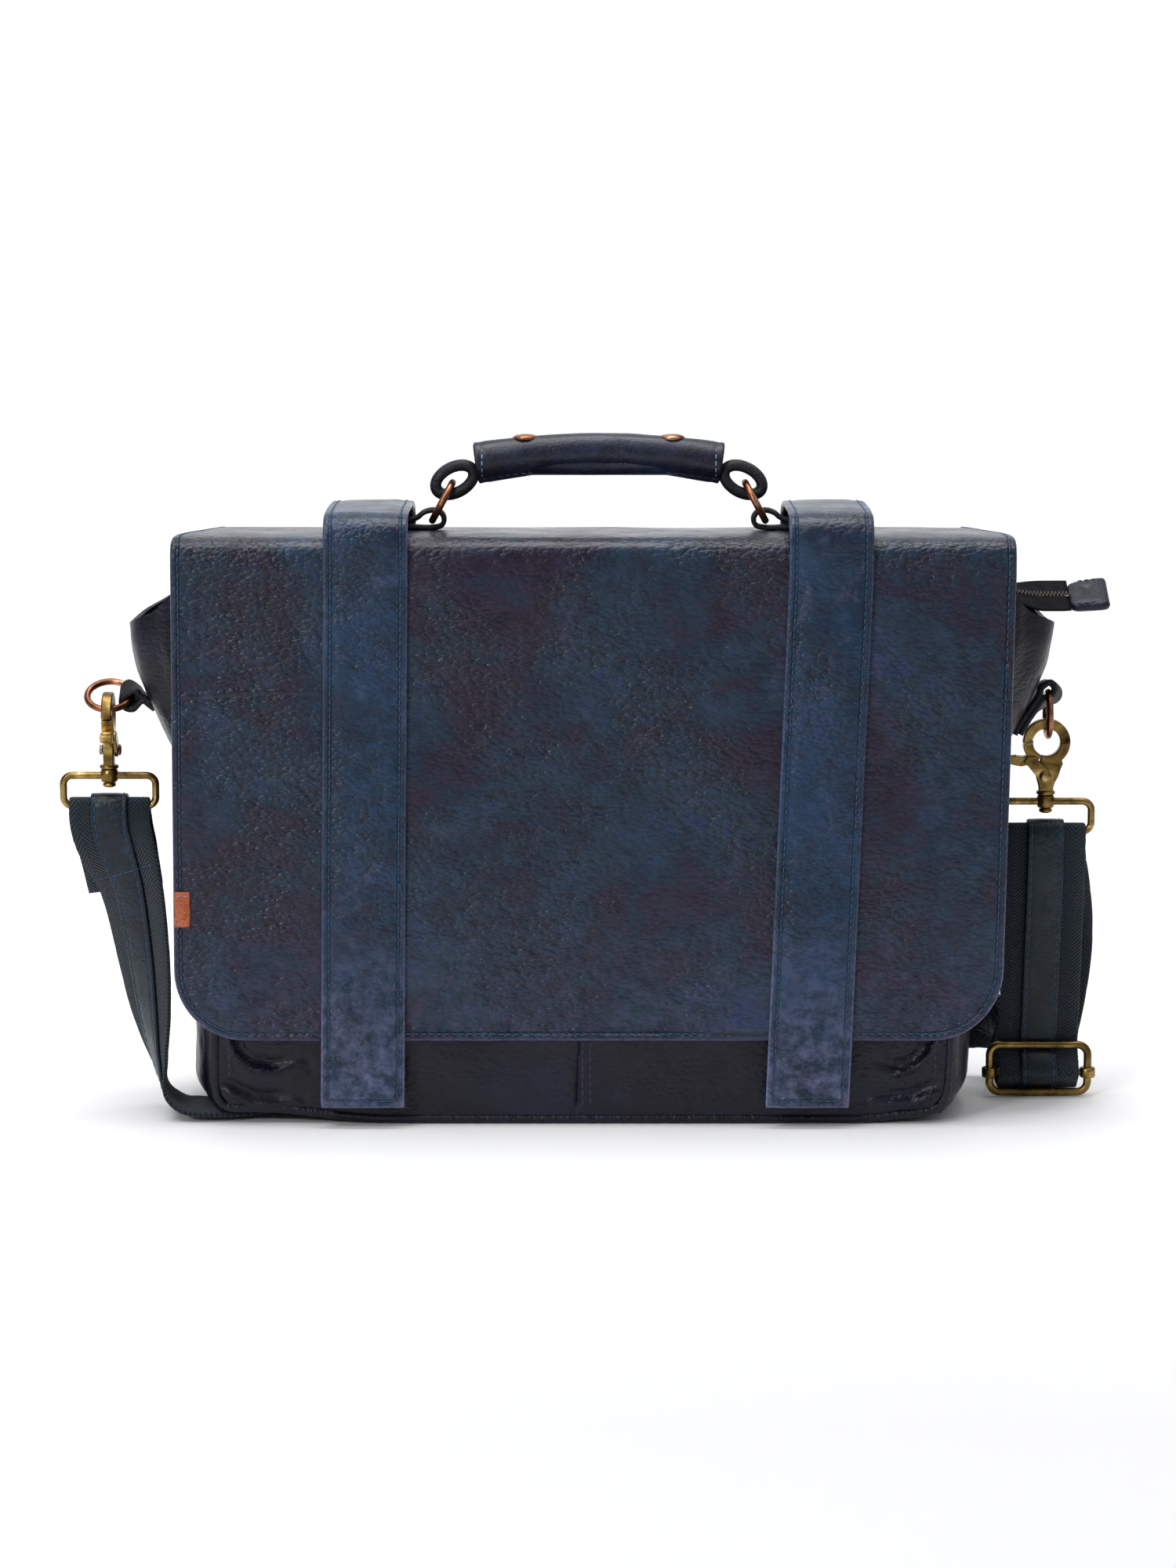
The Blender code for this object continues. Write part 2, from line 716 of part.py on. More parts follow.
def ring_bars(side):
    """Middles of a handle ring's upper and lower bar, and the direction from low to high."""
    sign = SIGN[side]
    centre = Vector((HANDLE_RING_X[side], 0, SWING_Z))
    up = Vector((-sign * math.sin(RING_LEAN), 0, math.cos(RING_LEAN)))
    return centre + up * HANDLE_RING_R, centre - up * HANDLE_RING_R, up


def build_handle(leather, dark, copper):
    swing = (0.0, 0.0, SWING_Z)

    bm = bmesh.new()
    path = grip_path(0.0, 9)
    outer = tube_sections(path, GRIP_R, 12, False, Y_AXIS)
    inner = tube_sections(path, GRIP_BORE, 12, False, Y_AXIS)
    add_sweep(bm, outer + inner[::-1], True)
    finish("handle_grip", bm, leather, swing)

    bm = bmesh.new()
    add_sweep(bm, tube_sections(grip_path(3.0, 7), CORE_R, 8, False, Y_AXIS), False)
    finish("handle_core", bm, dark, swing)

    for side in SIDES:
        sign = SIGN[side]
        centre = Vector((HANDLE_LOOP_X[side], 0, HANDLE_LOOP_Z))
        path = []
        for i in range(14):
            angle = 2 * math.pi * i / 14
            path.append(centre + Vector((8.7 * math.cos(angle), 0, 7.7 * math.sin(angle))))
        sections = []
        for i, point in enumerate(path):
            out = (path[(i + 1) % 14] - path[i - 1]).normalized().cross(Y_AXIS)
            sections.append([point + out * a + Y_AXIS * b
                             for a, b in ((1.4, 7.5), (1.4, -7.5), (-1.4, -7.5), (-1.4, 7.5))])
        bm = bmesh.new()
        add_sweep(bm, sections, True)
        finish("handle_loop_" + side, bm, dark, swing)

        x = RIVET_X[side]
        bm = bmesh.new()
        base = grip_height(x) + GRIP_R + 0.5
        add_turned(bm, ((4.6, 0.0), (4.2, 0.9), (2.4, 1.8)), (x, 0, base), Z_AXIS, 10)
        finish("handle_rivet_" + side, bm, copper, swing)

        high, low, up = ring_bars(side)
        bm = bmesh.new()
        path = circle_path((high + low) / 2, up, Y_AXIS, HANDLE_RING_R, 20)
        add_sweep(bm, tube_sections(path, HANDLE_WIRE_R, 6, True, up.cross(Y_AXIS)), True)
        finish("handle_ring_" + side, bm, copper, high)

        x = low.x
        outline = ((30.0, 275.9), (19.0, 275.9), (8.5, 275.9), (-1.0, 275.9), (-6.4, 277.0),
                   (-8.4, 280.0), (-6.0, 282.9), (0.0, 283.7), (6.4, 282.3), (11.2, 279.6),
                   (18.0, 278.3), (30.0, 278.2))
        path = [Vector((x + sign * u, 0, z)) for u, z in outline]
        bm = bmesh.new()
        add_sweep(bm, flat_band(path, Y_AXIS, 7.0, 1.6), False)
        finish("handle_anchor_" + side, bm, leather, (0.0, *LIFT_AXIS))


# ---------------------------------------------------------------- side rings and hooks

def build_side_tabs(leather):
    """Leather tabs on the side walls, each folded round a ring."""
    for side in SIDES:
        sign = SIGN[side]
        hole_x, hole_z = SIDE_TAB_HOLES[side]
        flange = ((172.0, 1.8, 4.2), (178.0, 1.9, 4.4), (184.0, 2.2, 6.0))
        turns = (200, 165, 130, 95, 62, 32, 2, -28, -58)
        if side == "right":
            flange = ((223.0, 1.8, 4.3), (216.0, 1.9, 4.5), (209.0, 2.4, 6.4))
            turns = (175, 208, 240, 270, 300, 332, 2, 32)

        def wall(z, off):
            return Vector((gusset_point(sign, z, math.pi / 2).x + sign * off, 0, z))

        path = [wall(z, near) for z, near, far in flange]
        for angle in turns:
            turn = math.radians(angle)
            path.append(Vector((hole_x + sign * 5.0 * math.cos(turn), 0, hole_z + 7.4 * math.sin(turn))))
        path += [wall(z, far) for z, near, far in reversed(flange)]
        bm = bmesh.new()
        add_sweep(bm, flat_band(path, Y_AXIS, 8.0, 1.6), False)
        finish("side_tab_" + side, bm, leather)


def build_side_rings(copper):
    tilted = Vector((0, math.cos(LEFT_RING_TILT), math.sin(LEFT_RING_TILT)))
    planes = (("left", LEFT_RING, X_AXIS, tilted), ("right", RIGHT_RING, Z_AXIS, Y_AXIS))
    for side, centre, first, second in planes:
        bm = bmesh.new()
        path = circle_path(centre, first, second, SIDE_RING_R, 20)
        add_sweep(bm, tube_sections(path, SIDE_WIRE_R, 6, True, first.cross(second)), True)
        finish("side_ring_" + side, bm, copper, Vector(centre) + first * SIDE_RING_R)


def arc(radius, start, end, count):
    """Points on a circle round the hook's eye, angles in degrees."""
    points = []
    for i in range(count):
        angle = math.radians(mix(start, end, i / (count - 1)))
        points.append((radius * math.cos(angle), radius * math.sin(angle)))
    return points


def build_hooks(brass, steel):
    """Trigger snap hooks; each is modelled round its eye and then turned to face its ring."""
    for side, eye, turn in (("left", LEFT_HOOK, math.pi / 2), ("right", RIGHT_HOOK, 0.0)):
        body = arc(EYE_OUTER, 183.7, -50, 12)
        body += [(7.2, -11.5), (5.6, -17.0), (3.4, -20.5), (3.2, -24.6), (-3.2, -24.6), (-3.4, -20.5),
                 (-4.9, -17.0), (-4.6, -13.0), (-3.0, -11.0), (-3.0, -5.8)]
        body += arc(EYE_R, -112, 165.5, 13)
        bm = bmesh.new()
        add_prism(bm, body, -HOOK_THICK, HOOK_THICK, front_on)
        hook = finish("hook_body_" + side, bm, brass, eye, turn, True)

        bm = bmesh.new()
        profile = ((1.7, -23.0), (1.7, -31.7), (3.1, -32.2), (3.1, -33.4), (1.6, -34.0))
        add_turned(bm, profile, (0, 0, 0), Z_AXIS, 10)
        combine(hook, finish("stem_tool_" + side, bm, brass, eye, turn, True), "UNION")
        bm = bmesh.new()
        add_turned(bm, ((1.5, -4.0), (1.5, 4.0)), (PIN[0], 0, PIN[1]), Y_AXIS, 10)
        combine(hook, finish("pin_hole_tool_" + side, bm, brass, eye, turn, True), "DIFFERENCE")

        pin = Vector(eye) + Matrix.Rotation(turn, 3, "Z") @ Vector((PIN[0], 0, PIN[1]))
        off = Vector((PIN[0], 0, PIN[1]))
        gate = arc(EYE_OUTER, 186, 214, 4)
        gate += [(-13.0, -6.4), (-17.2, -6.6), (-18.2, -8.6), (-17.0, -10.4), (-12.0, -11.4),
                 (-8.6, -10.6)]
        gate += arc(EYE_R, 228, 169.6, 5)
        bm = bmesh.new()
        add_prism(bm, [(u - off.x, v - off.z) for u, v in gate], -4.1, HOOK_THICK - 0.1, front_on)
        lever = finish("hook_gate_" + side, bm, brass, pin, turn, True)
        cheek = [(-2.6, -18.8), (0.6, -18.8), (2.2, -16.4), (1.4, -13.6), (-3.6, -8.6), (-5.8, -6.4),
                 (-9.4, -6.6), (-11.0, -9.4), (-9.0, -11.0), (-4.4, -16.6)]
        bm = bmesh.new()
        add_prism(bm, [(u - off.x, v - off.z) for u, v in cheek], -4.5, -HOOK_THICK - GAP, front_on)
        combine(lever, finish("cheek_tool_" + side, bm, brass, pin, turn, True), "UNION")
        bm = bmesh.new()
        add_turned(bm, ((1.5, -6.0), (1.5, -1.5)), (0, 0, 0), Y_AXIS, 10)
        combine(lever, finish("gate_hole_tool_" + side, bm, brass, pin, turn, True), "DIFFERENCE")

        bm = bmesh.new()
        profile = ((2.2, -6.0), (2.6, -5.5), (2.6, -4.9), (1.15, -4.9), (1.15, 4.4))
        add_turned(bm, profile, (0, 0, 0), Y_AXIS, 10)
        finish("hook_pin_" + side, bm, steel, pin, turn, True)

        bm = bmesh.new()
        path = circle_path((0, 3.4, 0), X_AXIS, Z_AXIS, 2.2, 12)
        add_sweep(bm, tube_sections(path, 0.45, 5, True, Y_AXIS), True)
        finish("hook_spring_" + side, bm, steel, pin, turn, True)

        bm = bmesh.new()
        outline = rounded_rectangle(LOOP_HALF, LOOP_HEIGHT / 2, 2.0, 2)
        middle = Vector((0, 0, -BAR_DROP - LOOP_HEIGHT / 2))
        path = [middle + Vector((u, 0, v)) for u, v in outline]
        add_sweep(bm, tube_sections(path, LOOP_WIRE_R, 6, True, Y_AXIS), True)
        loop = finish("hook_loop_" + side, bm, brass, eye, 0.0, True)
        bm = bmesh.new()
        add_turned(bm, ((4.0, -31.3), (4.0, -25.2)), (0, 0, 0), Z_AXIS, 10)
        combine(loop, finish("boss_tool_" + side, bm, brass, eye, 0.0, True), "UNION")
        bm = bmesh.new()
        add_turned(bm, ((2.2, -35.0), (2.2, -22.0)), (0, 0, 0), Z_AXIS, 10)
        combine(loop, finish("boss_hole_tool_" + side, bm, brass, eye, 0.0, True), "DIFFERENCE")


# ---------------------------------------------------------------- shoulder strap

def round_bar(centre, across, start, end):
    """Strap points over a swivel loop's lower bar; angles in degrees, 0 at the back, 180 in front."""
    radius = LOOP_WIRE_R + 0.35 + WEB_THICK / 2
    points = []
    for i in range(5):
        angle = math.radians(mix(start, end, i / 4))
        y = centre[1] + radius * math.cos(angle)
        z = centre[2] + radius * math.sin(angle)
        points.append((centre[0], y, z, *across))
    return points


def turn_back(x, y, start, end):
    """Points of a half turn where the strap folds back on itself behind the bag."""
    points = []
    for i in range(7):
        angle = math.radians(mix(start, end, i / 6))
        points.append((x + FOLD_R * math.cos(angle), y + FOLD_R * math.sin(angle)))
    return points


def strap_route():
    """Strap's middle with its width direction, from the sewn left end to the slider's bar."""
    bar_down = BAR_DROP + LOOP_HEIGHT
    left_bar = (LEFT_HOOK[0], LEFT_HOOK[1], LEFT_HOOK[2] - bar_down)
    right_bar = (RIGHT_HOOK[0], RIGHT_HOOK[1], RIGHT_HOOK[2] - bar_down)

    def flat(x, y, z, degrees):
        turn = math.radians(degrees)
        return (x, y, z, math.cos(turn), -math.sin(turn), 0.0)

    def tilted(x, y, z, degrees, facing=1.0):
        turn = math.radians(degrees)
        return (x, y, z, facing * math.cos(turn), 0.0, math.sin(turn))

    route = [flat(-222.4, -3.0, 104.0, 14), flat(-226.0, -3.4, 124.0, 6), flat(-228.4, -4.6, 137.0, 0)]
    route += round_bar(left_bar, (1, 0, 0), 0, 180)
    route += [flat(-228.0, -12.1, 134.0, 4), flat(-218.9, -12.5, 106.0, 32),
              flat(-213.1, -14.5, 72.0, 45), flat(-209.6, -18.0, 48.0, 56),
              flat(-205.4, -22.0, 26.0, 72), flat(-200.4, -26.0, 11.5, 84), flat(-192.6, -28.6, 5.0, 90)]
    pivot = (-178.0, -5.0)
    for degrees in (0, 30, 60, 90):
        turn = math.radians(degrees)
        x = pivot[0] + UNDER_TURN_R * math.sin(turn)
        y = pivot[1] - UNDER_TURN_R * math.cos(turn)
        route.append(flat(x, y, STRAP_LAY_Z, 90 - degrees))
    route += [flat(-154.0, 20.0, STRAP_LAY_Z, 0), flat(-155.0, 38.0, STRAP_LAY_Z, 0),
              flat(-156.0, 53.0, 3.6, 0), tilted(-158.0, 67.0, 7.6, 12),
              tilted(-160.0, 86.0, 13.8, 38), tilted(-158.0, 106.0, 19.0, 70)]
    edge = STRAP_EDGE_Z
    run = [(-148.0, 123.0), (-122.0, 135.5), (-80.0, 139.0), (-30.0, 136.0), (25.0, 138.5),
           (70.0, 137.5)]
    run += turn_back(82.0, 137.0 - FOLD_R, 90, -90)
    run += [(64.0, 107.5), (20.0, 109.0), (-25.0, 107.0), (-58.0, 107.5)]
    run += turn_back(-70.0, 107.0 - FOLD_R, 90, 270)
    run += [(-54.0, 76.5), (-12.0, 75.5), (35.0, 78.0), (80.0, 78.0), (114.0, 75.0)]
    route += [tilted(x, y, edge, 90) for x, y in run]
    route += [tilted(136.0, 71.5, 21.5, 90), tilted(156.0, 68.5, 25.5, 90), tilted(173.0, 63.0, 31.0, 90)]
    route += [tilted(189.0, 54.0, 33.0, 80, -1.0), tilted(201.0, 43.0, 26.0, 55, -1.0),
              tilted(209.0, 33.0, 14.0, 28, -1.0), tilted(213.4, 25.0, 5.6, 6, -1.0)]
    x = SLIDER[0]
    route += [(x, y, z, -1.0, 0.0, 0.0) for y, z in (
        (18.6, 3.6), (14.9, 5.0), (11.4, 7.8), (7.9, 9.6), (6.4, 12.0), (7.4, 15.0), (11.0, 19.4),
        (14.6, 23.0), (15.2, 27.0), (14.0, 34.0))]
    route += [(214.6, 9.5, 52.0, -1.0, 0.0, 0.0), (214.8, 3.6, 85.0, -1.0, 0.0, 0.0),
              (214.9, -1.8, 112.0, -1.0, 0.0, 0.0)]
    route += round_bar(right_bar, (-1, 0, 0), 180, 0)
    route += [(x, y, z, -1.0, 0.0, 0.0) for x, y, z in (
        (216.4, 8.0, 116.0), (220.4, 19.0, 96.0), (222.4, 27.0, 74.0), (220.4, 28.0, 52.0),
        (216.4, 24.0, 34.0), (214.6, 19.4, 24.0), (214.5, 15.4, 17.0), (214.5, 13.6, 11.6))]
    return route


def cut_length(stations, start, end):
    """The part of a curve between two lengths along it."""
    kept = []
    travelled = 0.0
    for before, here in zip([stations[0]] + stations, stations):
        travelled += math.dist(before[:3], here[:3])
        if start <= travelled <= end:
            kept.append(here)
    return kept


def build_strap(webbing, leather, brass):
    stations = spline(strap_route())
    total = sum(math.dist(a[:3], b[:3]) for a, b in zip(stations, stations[1:]))
    half = WEB_THICK / 2
    bm = bmesh.new()
    add_band(bm, band_sections(stations, WEB_WIDTH, -half, half, STRIP_WIDTH))
    finish("shoulder_webbing", bm, webbing)
    bm = bmesh.new()
    sewn = cut_length(stations, 30.0, total - 96.0)
    add_band(bm, band_sections(sewn, STRIP_WIDTH, half + 2 * GAP, half + 2 * GAP + STRIP_THICK))
    finish("shoulder_strip", bm, leather)

    centre = Vector(SLIDER)
    outline = rounded_rectangle(*SLIDER_HALF, 5.0, 3)
    path = [centre + Vector((u, 0, v)) for u, v in outline]
    bm = bmesh.new()
    add_sweep(bm, tube_sections(path, SLIDER_WIRE_R, 8, True, Y_AXIS), True)
    finish("slider_frame", bm, brass)

    origin = Vector((SLIDER[0], SLIDER[1], SLIDER_BAR_Z))
    reach = SLIDER_HALF[0] - 2.9
    bm = bmesh.new()
    add_turned(bm, ((1.6, -reach), (1.6, reach)), (0, 0, 0), X_AXIS, 10)
    bar = finish("slider_bar", bm, brass, origin, 0.0, True)
    for sign, name in ((-1, "left"), (1, "right")):
        bm = bmesh.new()
        add_turned(bm, ((3.7, -2.4), (3.7, 2.4)), (sign * SLIDER_HALF[0], 0, 0), Z_AXIS, 10)
        combine(bar, finish("bar_eye_tool_" + name, bm, brass, origin, 0.0, True), "UNION")
    for sign, name in ((-1, "left"), (1, "right")):
        bm = bmesh.new()
        add_turned(bm, ((2.4, -6.0), (2.4, 6.0)), (sign * SLIDER_HALF[0], 0, 0), Z_AXIS, 10)
        combine(bar, finish("bar_hole_tool_" + name, bm, brass, origin, 0.0, True), "DIFFERENCE")
    return total


def main():
    clear_scene()
    flap_leather = material("flap_leather", (0.026, 0.040, 0.060), 0.45)
    strap_leather = material("strap_leather", (0.028, 0.052, 0.080), 0.42)
    body_leather = material("body_leather", (0.014, 0.014, 0.024), 0.5)
    handle_leather = material("handle_leather", (0.020, 0.022, 0.040), 0.4)
    loop_leather = material("loop_leather", (0.012, 0.013, 0.018), 0.6)
    tag_leather = material("tag_leather", (0.51, 0.13, 0.05), 0.55)
    board = material("board", (0.16, 0.12, 0.08), 0.8)
    cloth = material("lining_cloth", (0.05, 0.045, 0.04), 0.9)
    pad = material("padding", (0.03, 0.03, 0.035), 0.9)
    webbing = material("webbing", (0.012, 0.020, 0.034), 0.85)
    tape = material("zip_tape", (0.01, 0.01, 0.012), 0.8)
    brass = material("antique_brass", (0.30, 0.21, 0.08), 0.35, 1.0)
    copper = material("copper", (0.45, 0.20, 0.10), 0.3, 1.0)
    steel = material("steel", (0.35, 0.33, 0.30), 0.3, 1.0)

    build_panels(body_leather)
    build_gussets(body_leather)
    build_base(body_leather, board)
    build_piping(body_leather)
    build_lining(cloth, pad)
    build_zip(tape, handle_leather, brass)
    build_flap(flap_leather, cloth)
    build_straps(strap_leather, brass)
    build_edge_tag(tag_leather)
    build_handle(handle_leather, loop_leather, copper)
    build_side_tabs(loop_leather)
    build_side_rings(copper)
    build_hooks(brass, steel)
    print("shoulder strap, mm:", round(build_strap(webbing, strap_leather, brass), 1))


main()
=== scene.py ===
"""Looks of the messenger bag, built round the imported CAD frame.

Lengths are in millimetres until a mesh is made.
"""

import math

import bmesh
import bpy
import numpy as np
from mathutils import Matrix, Vector, noise


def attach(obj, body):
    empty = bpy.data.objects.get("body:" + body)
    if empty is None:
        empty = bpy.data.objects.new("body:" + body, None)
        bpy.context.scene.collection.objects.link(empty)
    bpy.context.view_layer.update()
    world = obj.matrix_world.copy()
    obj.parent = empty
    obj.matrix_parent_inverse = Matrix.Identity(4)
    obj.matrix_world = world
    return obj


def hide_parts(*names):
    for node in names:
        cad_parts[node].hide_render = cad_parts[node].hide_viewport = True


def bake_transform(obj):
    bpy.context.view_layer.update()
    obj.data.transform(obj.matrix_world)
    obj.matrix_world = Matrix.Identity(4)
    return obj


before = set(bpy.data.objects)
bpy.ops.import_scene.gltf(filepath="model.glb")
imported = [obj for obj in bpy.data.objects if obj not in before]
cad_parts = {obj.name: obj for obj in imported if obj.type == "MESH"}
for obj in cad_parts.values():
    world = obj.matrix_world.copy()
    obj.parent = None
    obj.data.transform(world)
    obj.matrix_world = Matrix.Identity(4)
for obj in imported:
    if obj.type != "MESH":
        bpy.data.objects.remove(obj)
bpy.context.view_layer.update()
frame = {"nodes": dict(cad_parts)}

MM = 0.001
SIDES = ("left", "right")
SIGN = {"left": -1.0, "right": 1.0}
X_AXIS, Y_AXIS, Z_AXIS = Vector((1, 0, 0)), Vector((0, 1, 0)), Vector((0, 0, 1))

# body, as in the CAD
PANEL_TOP, PANEL_HALF_LOW, PANEL_HALF_HIGH, BODY_SHIFT = 264.0, 171.0, 176.0, -6.0
DEPTH_LOW, DEPTH_HIGH, DEPTH_BELLY = 50.0, 38.0, 12.0
LEATHER, PIPING_R, SEAM_X, FOOT_RISE = 2.4, 2.2, -7.0, 5.2
GUSSET_BULGE, GUSSET_EAR, GUSSET_DIP = 13.0, 30.0, 31.0
PANEL_GAP = 1.4             # between the panels' edge and the piping's middle
PANEL_COLUMNS, WALL_COLUMNS = 224, 42
LINING_LOW, LINING_HIGH = 12.0, 242.0
PAD_LOW, PAD_HIGH, PAD_Y = 14.0, 216.0, 17.0

# flap and its straps
FLAP_HALF, FLAP_HALF_BACK, FLAP_HALF_REAR, FLAP_THICK = 195.0, 180.0, 170.0, 2.6
FLAP_BOTTOM, FLAP_FRONT_TOP, FLAP_CORNER, FLAP_DRIFT = 41.0, 258.0, 33.0, 5.0
STRAP_WIDTH, STRAP_THICK, STRAP_BOTTOM = 39.0, 2.4, 10.0
STRAP_TOP_X = {"left": -104.9, "right": 109.6}
STRAP_BOTTOM_X = {"left": -107.5, "right": 99.6}
STITCH_INSET, STITCH_SLANT, THREAD_R = 3.4, 0.1, 0.3
FLAP_STITCH, FLAP_PITCH, STRAP_STITCH, STRAP_PITCH = 2.7, 3.6, 2.6, 3.4
BACKING_INSET, BACKING_TOP = 7.0, 3.5
STAR_X, STAR_Z, SCAR_Z = -137.0, 234.0, 203.4

# handle, rings and hooks
GRIP_ENDS, GRIP_R, GRIP_BORE, CORE_R = (-55.4, 60.6), 9.0, 6.2, 5.7
GRIP_END_Z, GRIP_ARCH, SWING_Z = 306.5, 5.5, 288.0
HANDLE_RING_R, HANDLE_WIRE_R, RING_LEAN = 10.1, 1.7, math.radians(28.3)
HANDLE_RING_X = {"left": -71.0, "right": 76.2}
HANDLE_LOOP_X = {"left": -66.7, "right": 71.9}
HANDLE_LOOP_Z, LOOP_LEAN = 295.6, math.radians(28.0)
RIVET_X = {"left": -31.9, "right": 37.0}
SIDE_RING_R, SIDE_WIRE_R = 10.4, 1.6
SIDE_TAB_HOLES = {"left": (-218.6, 196.0), "right": (215.3, 198.0)}
LEFT_RING_TILT = math.radians(32.6)
LEFT_RING, RIGHT_RING = (-229.2, 0.0, 196.0), (215.5, 0.0, 187.2)
EYES = {"left": (-228.8, -8.7, 187.4), "right": (214.9, 0.0, 173.8)}
HOOK_TURN = {"left": math.pi / 2, "right": 0.0}
EYE_R, EYE_OUTER, PIN = 6.5, 11.3, (-1.0, -16.0)
BAR_DROP, LOOP_HEIGHT, LOOP_HALF, LOOP_WIRE_R = 28.4, 14.5, 21.8, 1.75

# shoulder strap
WEB_WIDTH, WEB_THICK, STRIP_WIDTH, STRIP_THICK, GAP = 38.0, 2.2, 17.5, 1.2, 0.3
SLIDER, SLIDER_HALF, SLIDER_WIRE_R, SLIDER_BAR_Z = (214.5, 10.0, 13.9), (23.6, 11.5), 1.9, 12.0
STRAP_LAY_Z, STRAP_EDGE_Z, UNDER_TURN_R, FOLD_R = 3.5, 19.6, 24.0, 15.0
STRIP_FROM, STRIP_SHORT, SEWN_AT = 30.0, 96.0, 84.0      # along the webbing

# zip
TAPE_Z, TAPE_THICK, TAPE_HALF, ZIP_MEET_X, ZIP_END_X = 246.0, 1.6, 14.0, 142.0, 224.5
ZIP_START_X, ZIP_TILT, SLIDER_X, PULL_LIFT = -166.0, math.radians(25.0), 152.0, 5.4
TAB_REAR, TAB_FRONT, TAB_MIDDLE = -9.6, 9.2, 9.0


def mix(low, high, share):
    return low + (high - low) * share


def smooth(share):
    """Smooth step from 0 to 1."""
    share = min(1.0, max(0.0, float(share)))
    return share * share * (3.0 - 2.0 * share)


def wander(x, y, z=0.0):
    """Fixed smooth noise, about -1 to 1."""
    return noise.noise(Vector((x, y, z)))


# ---------------------------------------------------------------- materials

class Paint:
    """A material's node tree, with short calls to add nodes."""

    def __init__(self, name, uv=True, **shader):
        self.material = bpy.data.materials.new(name)
        self.material.use_nodes = True
        self.tree = self.material.node_tree
        self.shader = self.tree.nodes["Principled BSDF"]
        for key, value in shader.items():
            self.shader.inputs[key.replace("_", " ")].default_value = value
        place = self.tree.nodes.new("ShaderNodeTexCoord")
        self.place = place.outputs["UV" if uv else "Object"]

    def node(self, kind, inputs=None, **settings):
        made = self.tree.nodes.new("ShaderNode" + kind)
        for key, value in settings.items():
            setattr(made, key, value)
        for key, value in (inputs or {}).items():
            if isinstance(value, bpy.types.NodeSocket):
                self.tree.links.new(value, made.inputs[key])
            else:
                made.inputs[key].default_value = value
        return made

    def math(self, operation, a, b=0.0, c=0.0):
        return self.node("Math", {0: a, 1: b, 2: c}, operation=operation).outputs[0]

    def noise(self, scale, detail=3.0, rough=0.55, warp=0.0, place=None):
        made = self.node("TexNoise", {"Vector": place or self.place, "Scale": scale, "Detail": detail,
                                      "Roughness": rough, "Distortion": warp})
        return made.outputs["Fac"]

    def cells(self, scale, place):
        made = self.node("TexVoronoi", {"Vector": place, "Scale": scale, "Randomness": 1.0}, feature="F1")
        return made.outputs["Distance"]

    def ramp(self, value, *stops):
        made = self.node("ValToRGB", {"Fac": value})
        band = made.color_ramp
        while len(band.elements) < len(stops):
            band.elements.new(0.5)
        for element, (place, colour) in zip(band.elements, stops):
            element.position = place
            element.color = colour if len(colour) == 4 else (*colour, 1.0)
        return made.outputs["Color"]

    def span(self, value, low, high, to_low=0.0, to_high=1.0):
        """The value stretched from low..high to to_low..to_high and kept inside it."""
        return self.node("MapRange", {"Value": value, "From Min": low, "From Max": high, "To Min": to_low,
                                      "To Max": to_high}).outputs["Result"]

    def blend(self, share, a, b):
        """Colour a turning into b; sockets 6 and 7 are the node's two colours."""
        made = self.node("Mix", {"Factor": share}, data_type="RGBA", blend_type="MIX")
        for index, value in ((6, a), (7, b)):
            if isinstance(value, bpy.types.NodeSocket):
                self.tree.links.new(value, made.inputs[index])
            else:
                made.inputs[index].default_value = (*value, 1.0)
        return made.outputs[2]

    def layer(self, name):
        return self.node("Attribute", attribute_name=name).outputs["Fac"]

    def shifted(self, amount, scale):
        """The coordinates, pushed about by noise."""
        push = self.node("TexNoise", {"Vector": self.place, "Scale": scale, "Detail": 2.0}).outputs["Color"]
        centred = self.node("VectorMath", {0: push, 1: (0.5, 0.5, 0.5)}, operation="SUBTRACT").outputs[0]
        scaled = self.node("VectorMath", {0: centred, "Scale": amount}, operation="SCALE").outputs[0]
        return self.node("VectorMath", {0: self.place, 1: scaled}, operation="ADD").outputs[0]

    def finish(self, colour, rough=None, height=None, depth=0.0004):
        """Plugs the results into the shader and returns the material; depth is the relief in metres."""
        self.tree.links.new(colour, self.shader.inputs["Base Color"])
        if rough is not None:
            self.tree.links.new(rough, self.shader.inputs["Roughness"])
        if height is not None:
            bump = self.node("Bump", {"Height": height, "Strength": 1.0, "Distance": depth})
            self.tree.links.new(bump.outputs["Normal"], self.shader.inputs["Normal"])
        return self.material


def srgb(r, g, b):
    """Screen values 0 to 255 as a linear colour."""
    return tuple((c / 255.0 / 12.92) if c <= 10 else ((c / 255.0 + 0.055) / 1.055) ** 2.4 for c in (r, g, b))


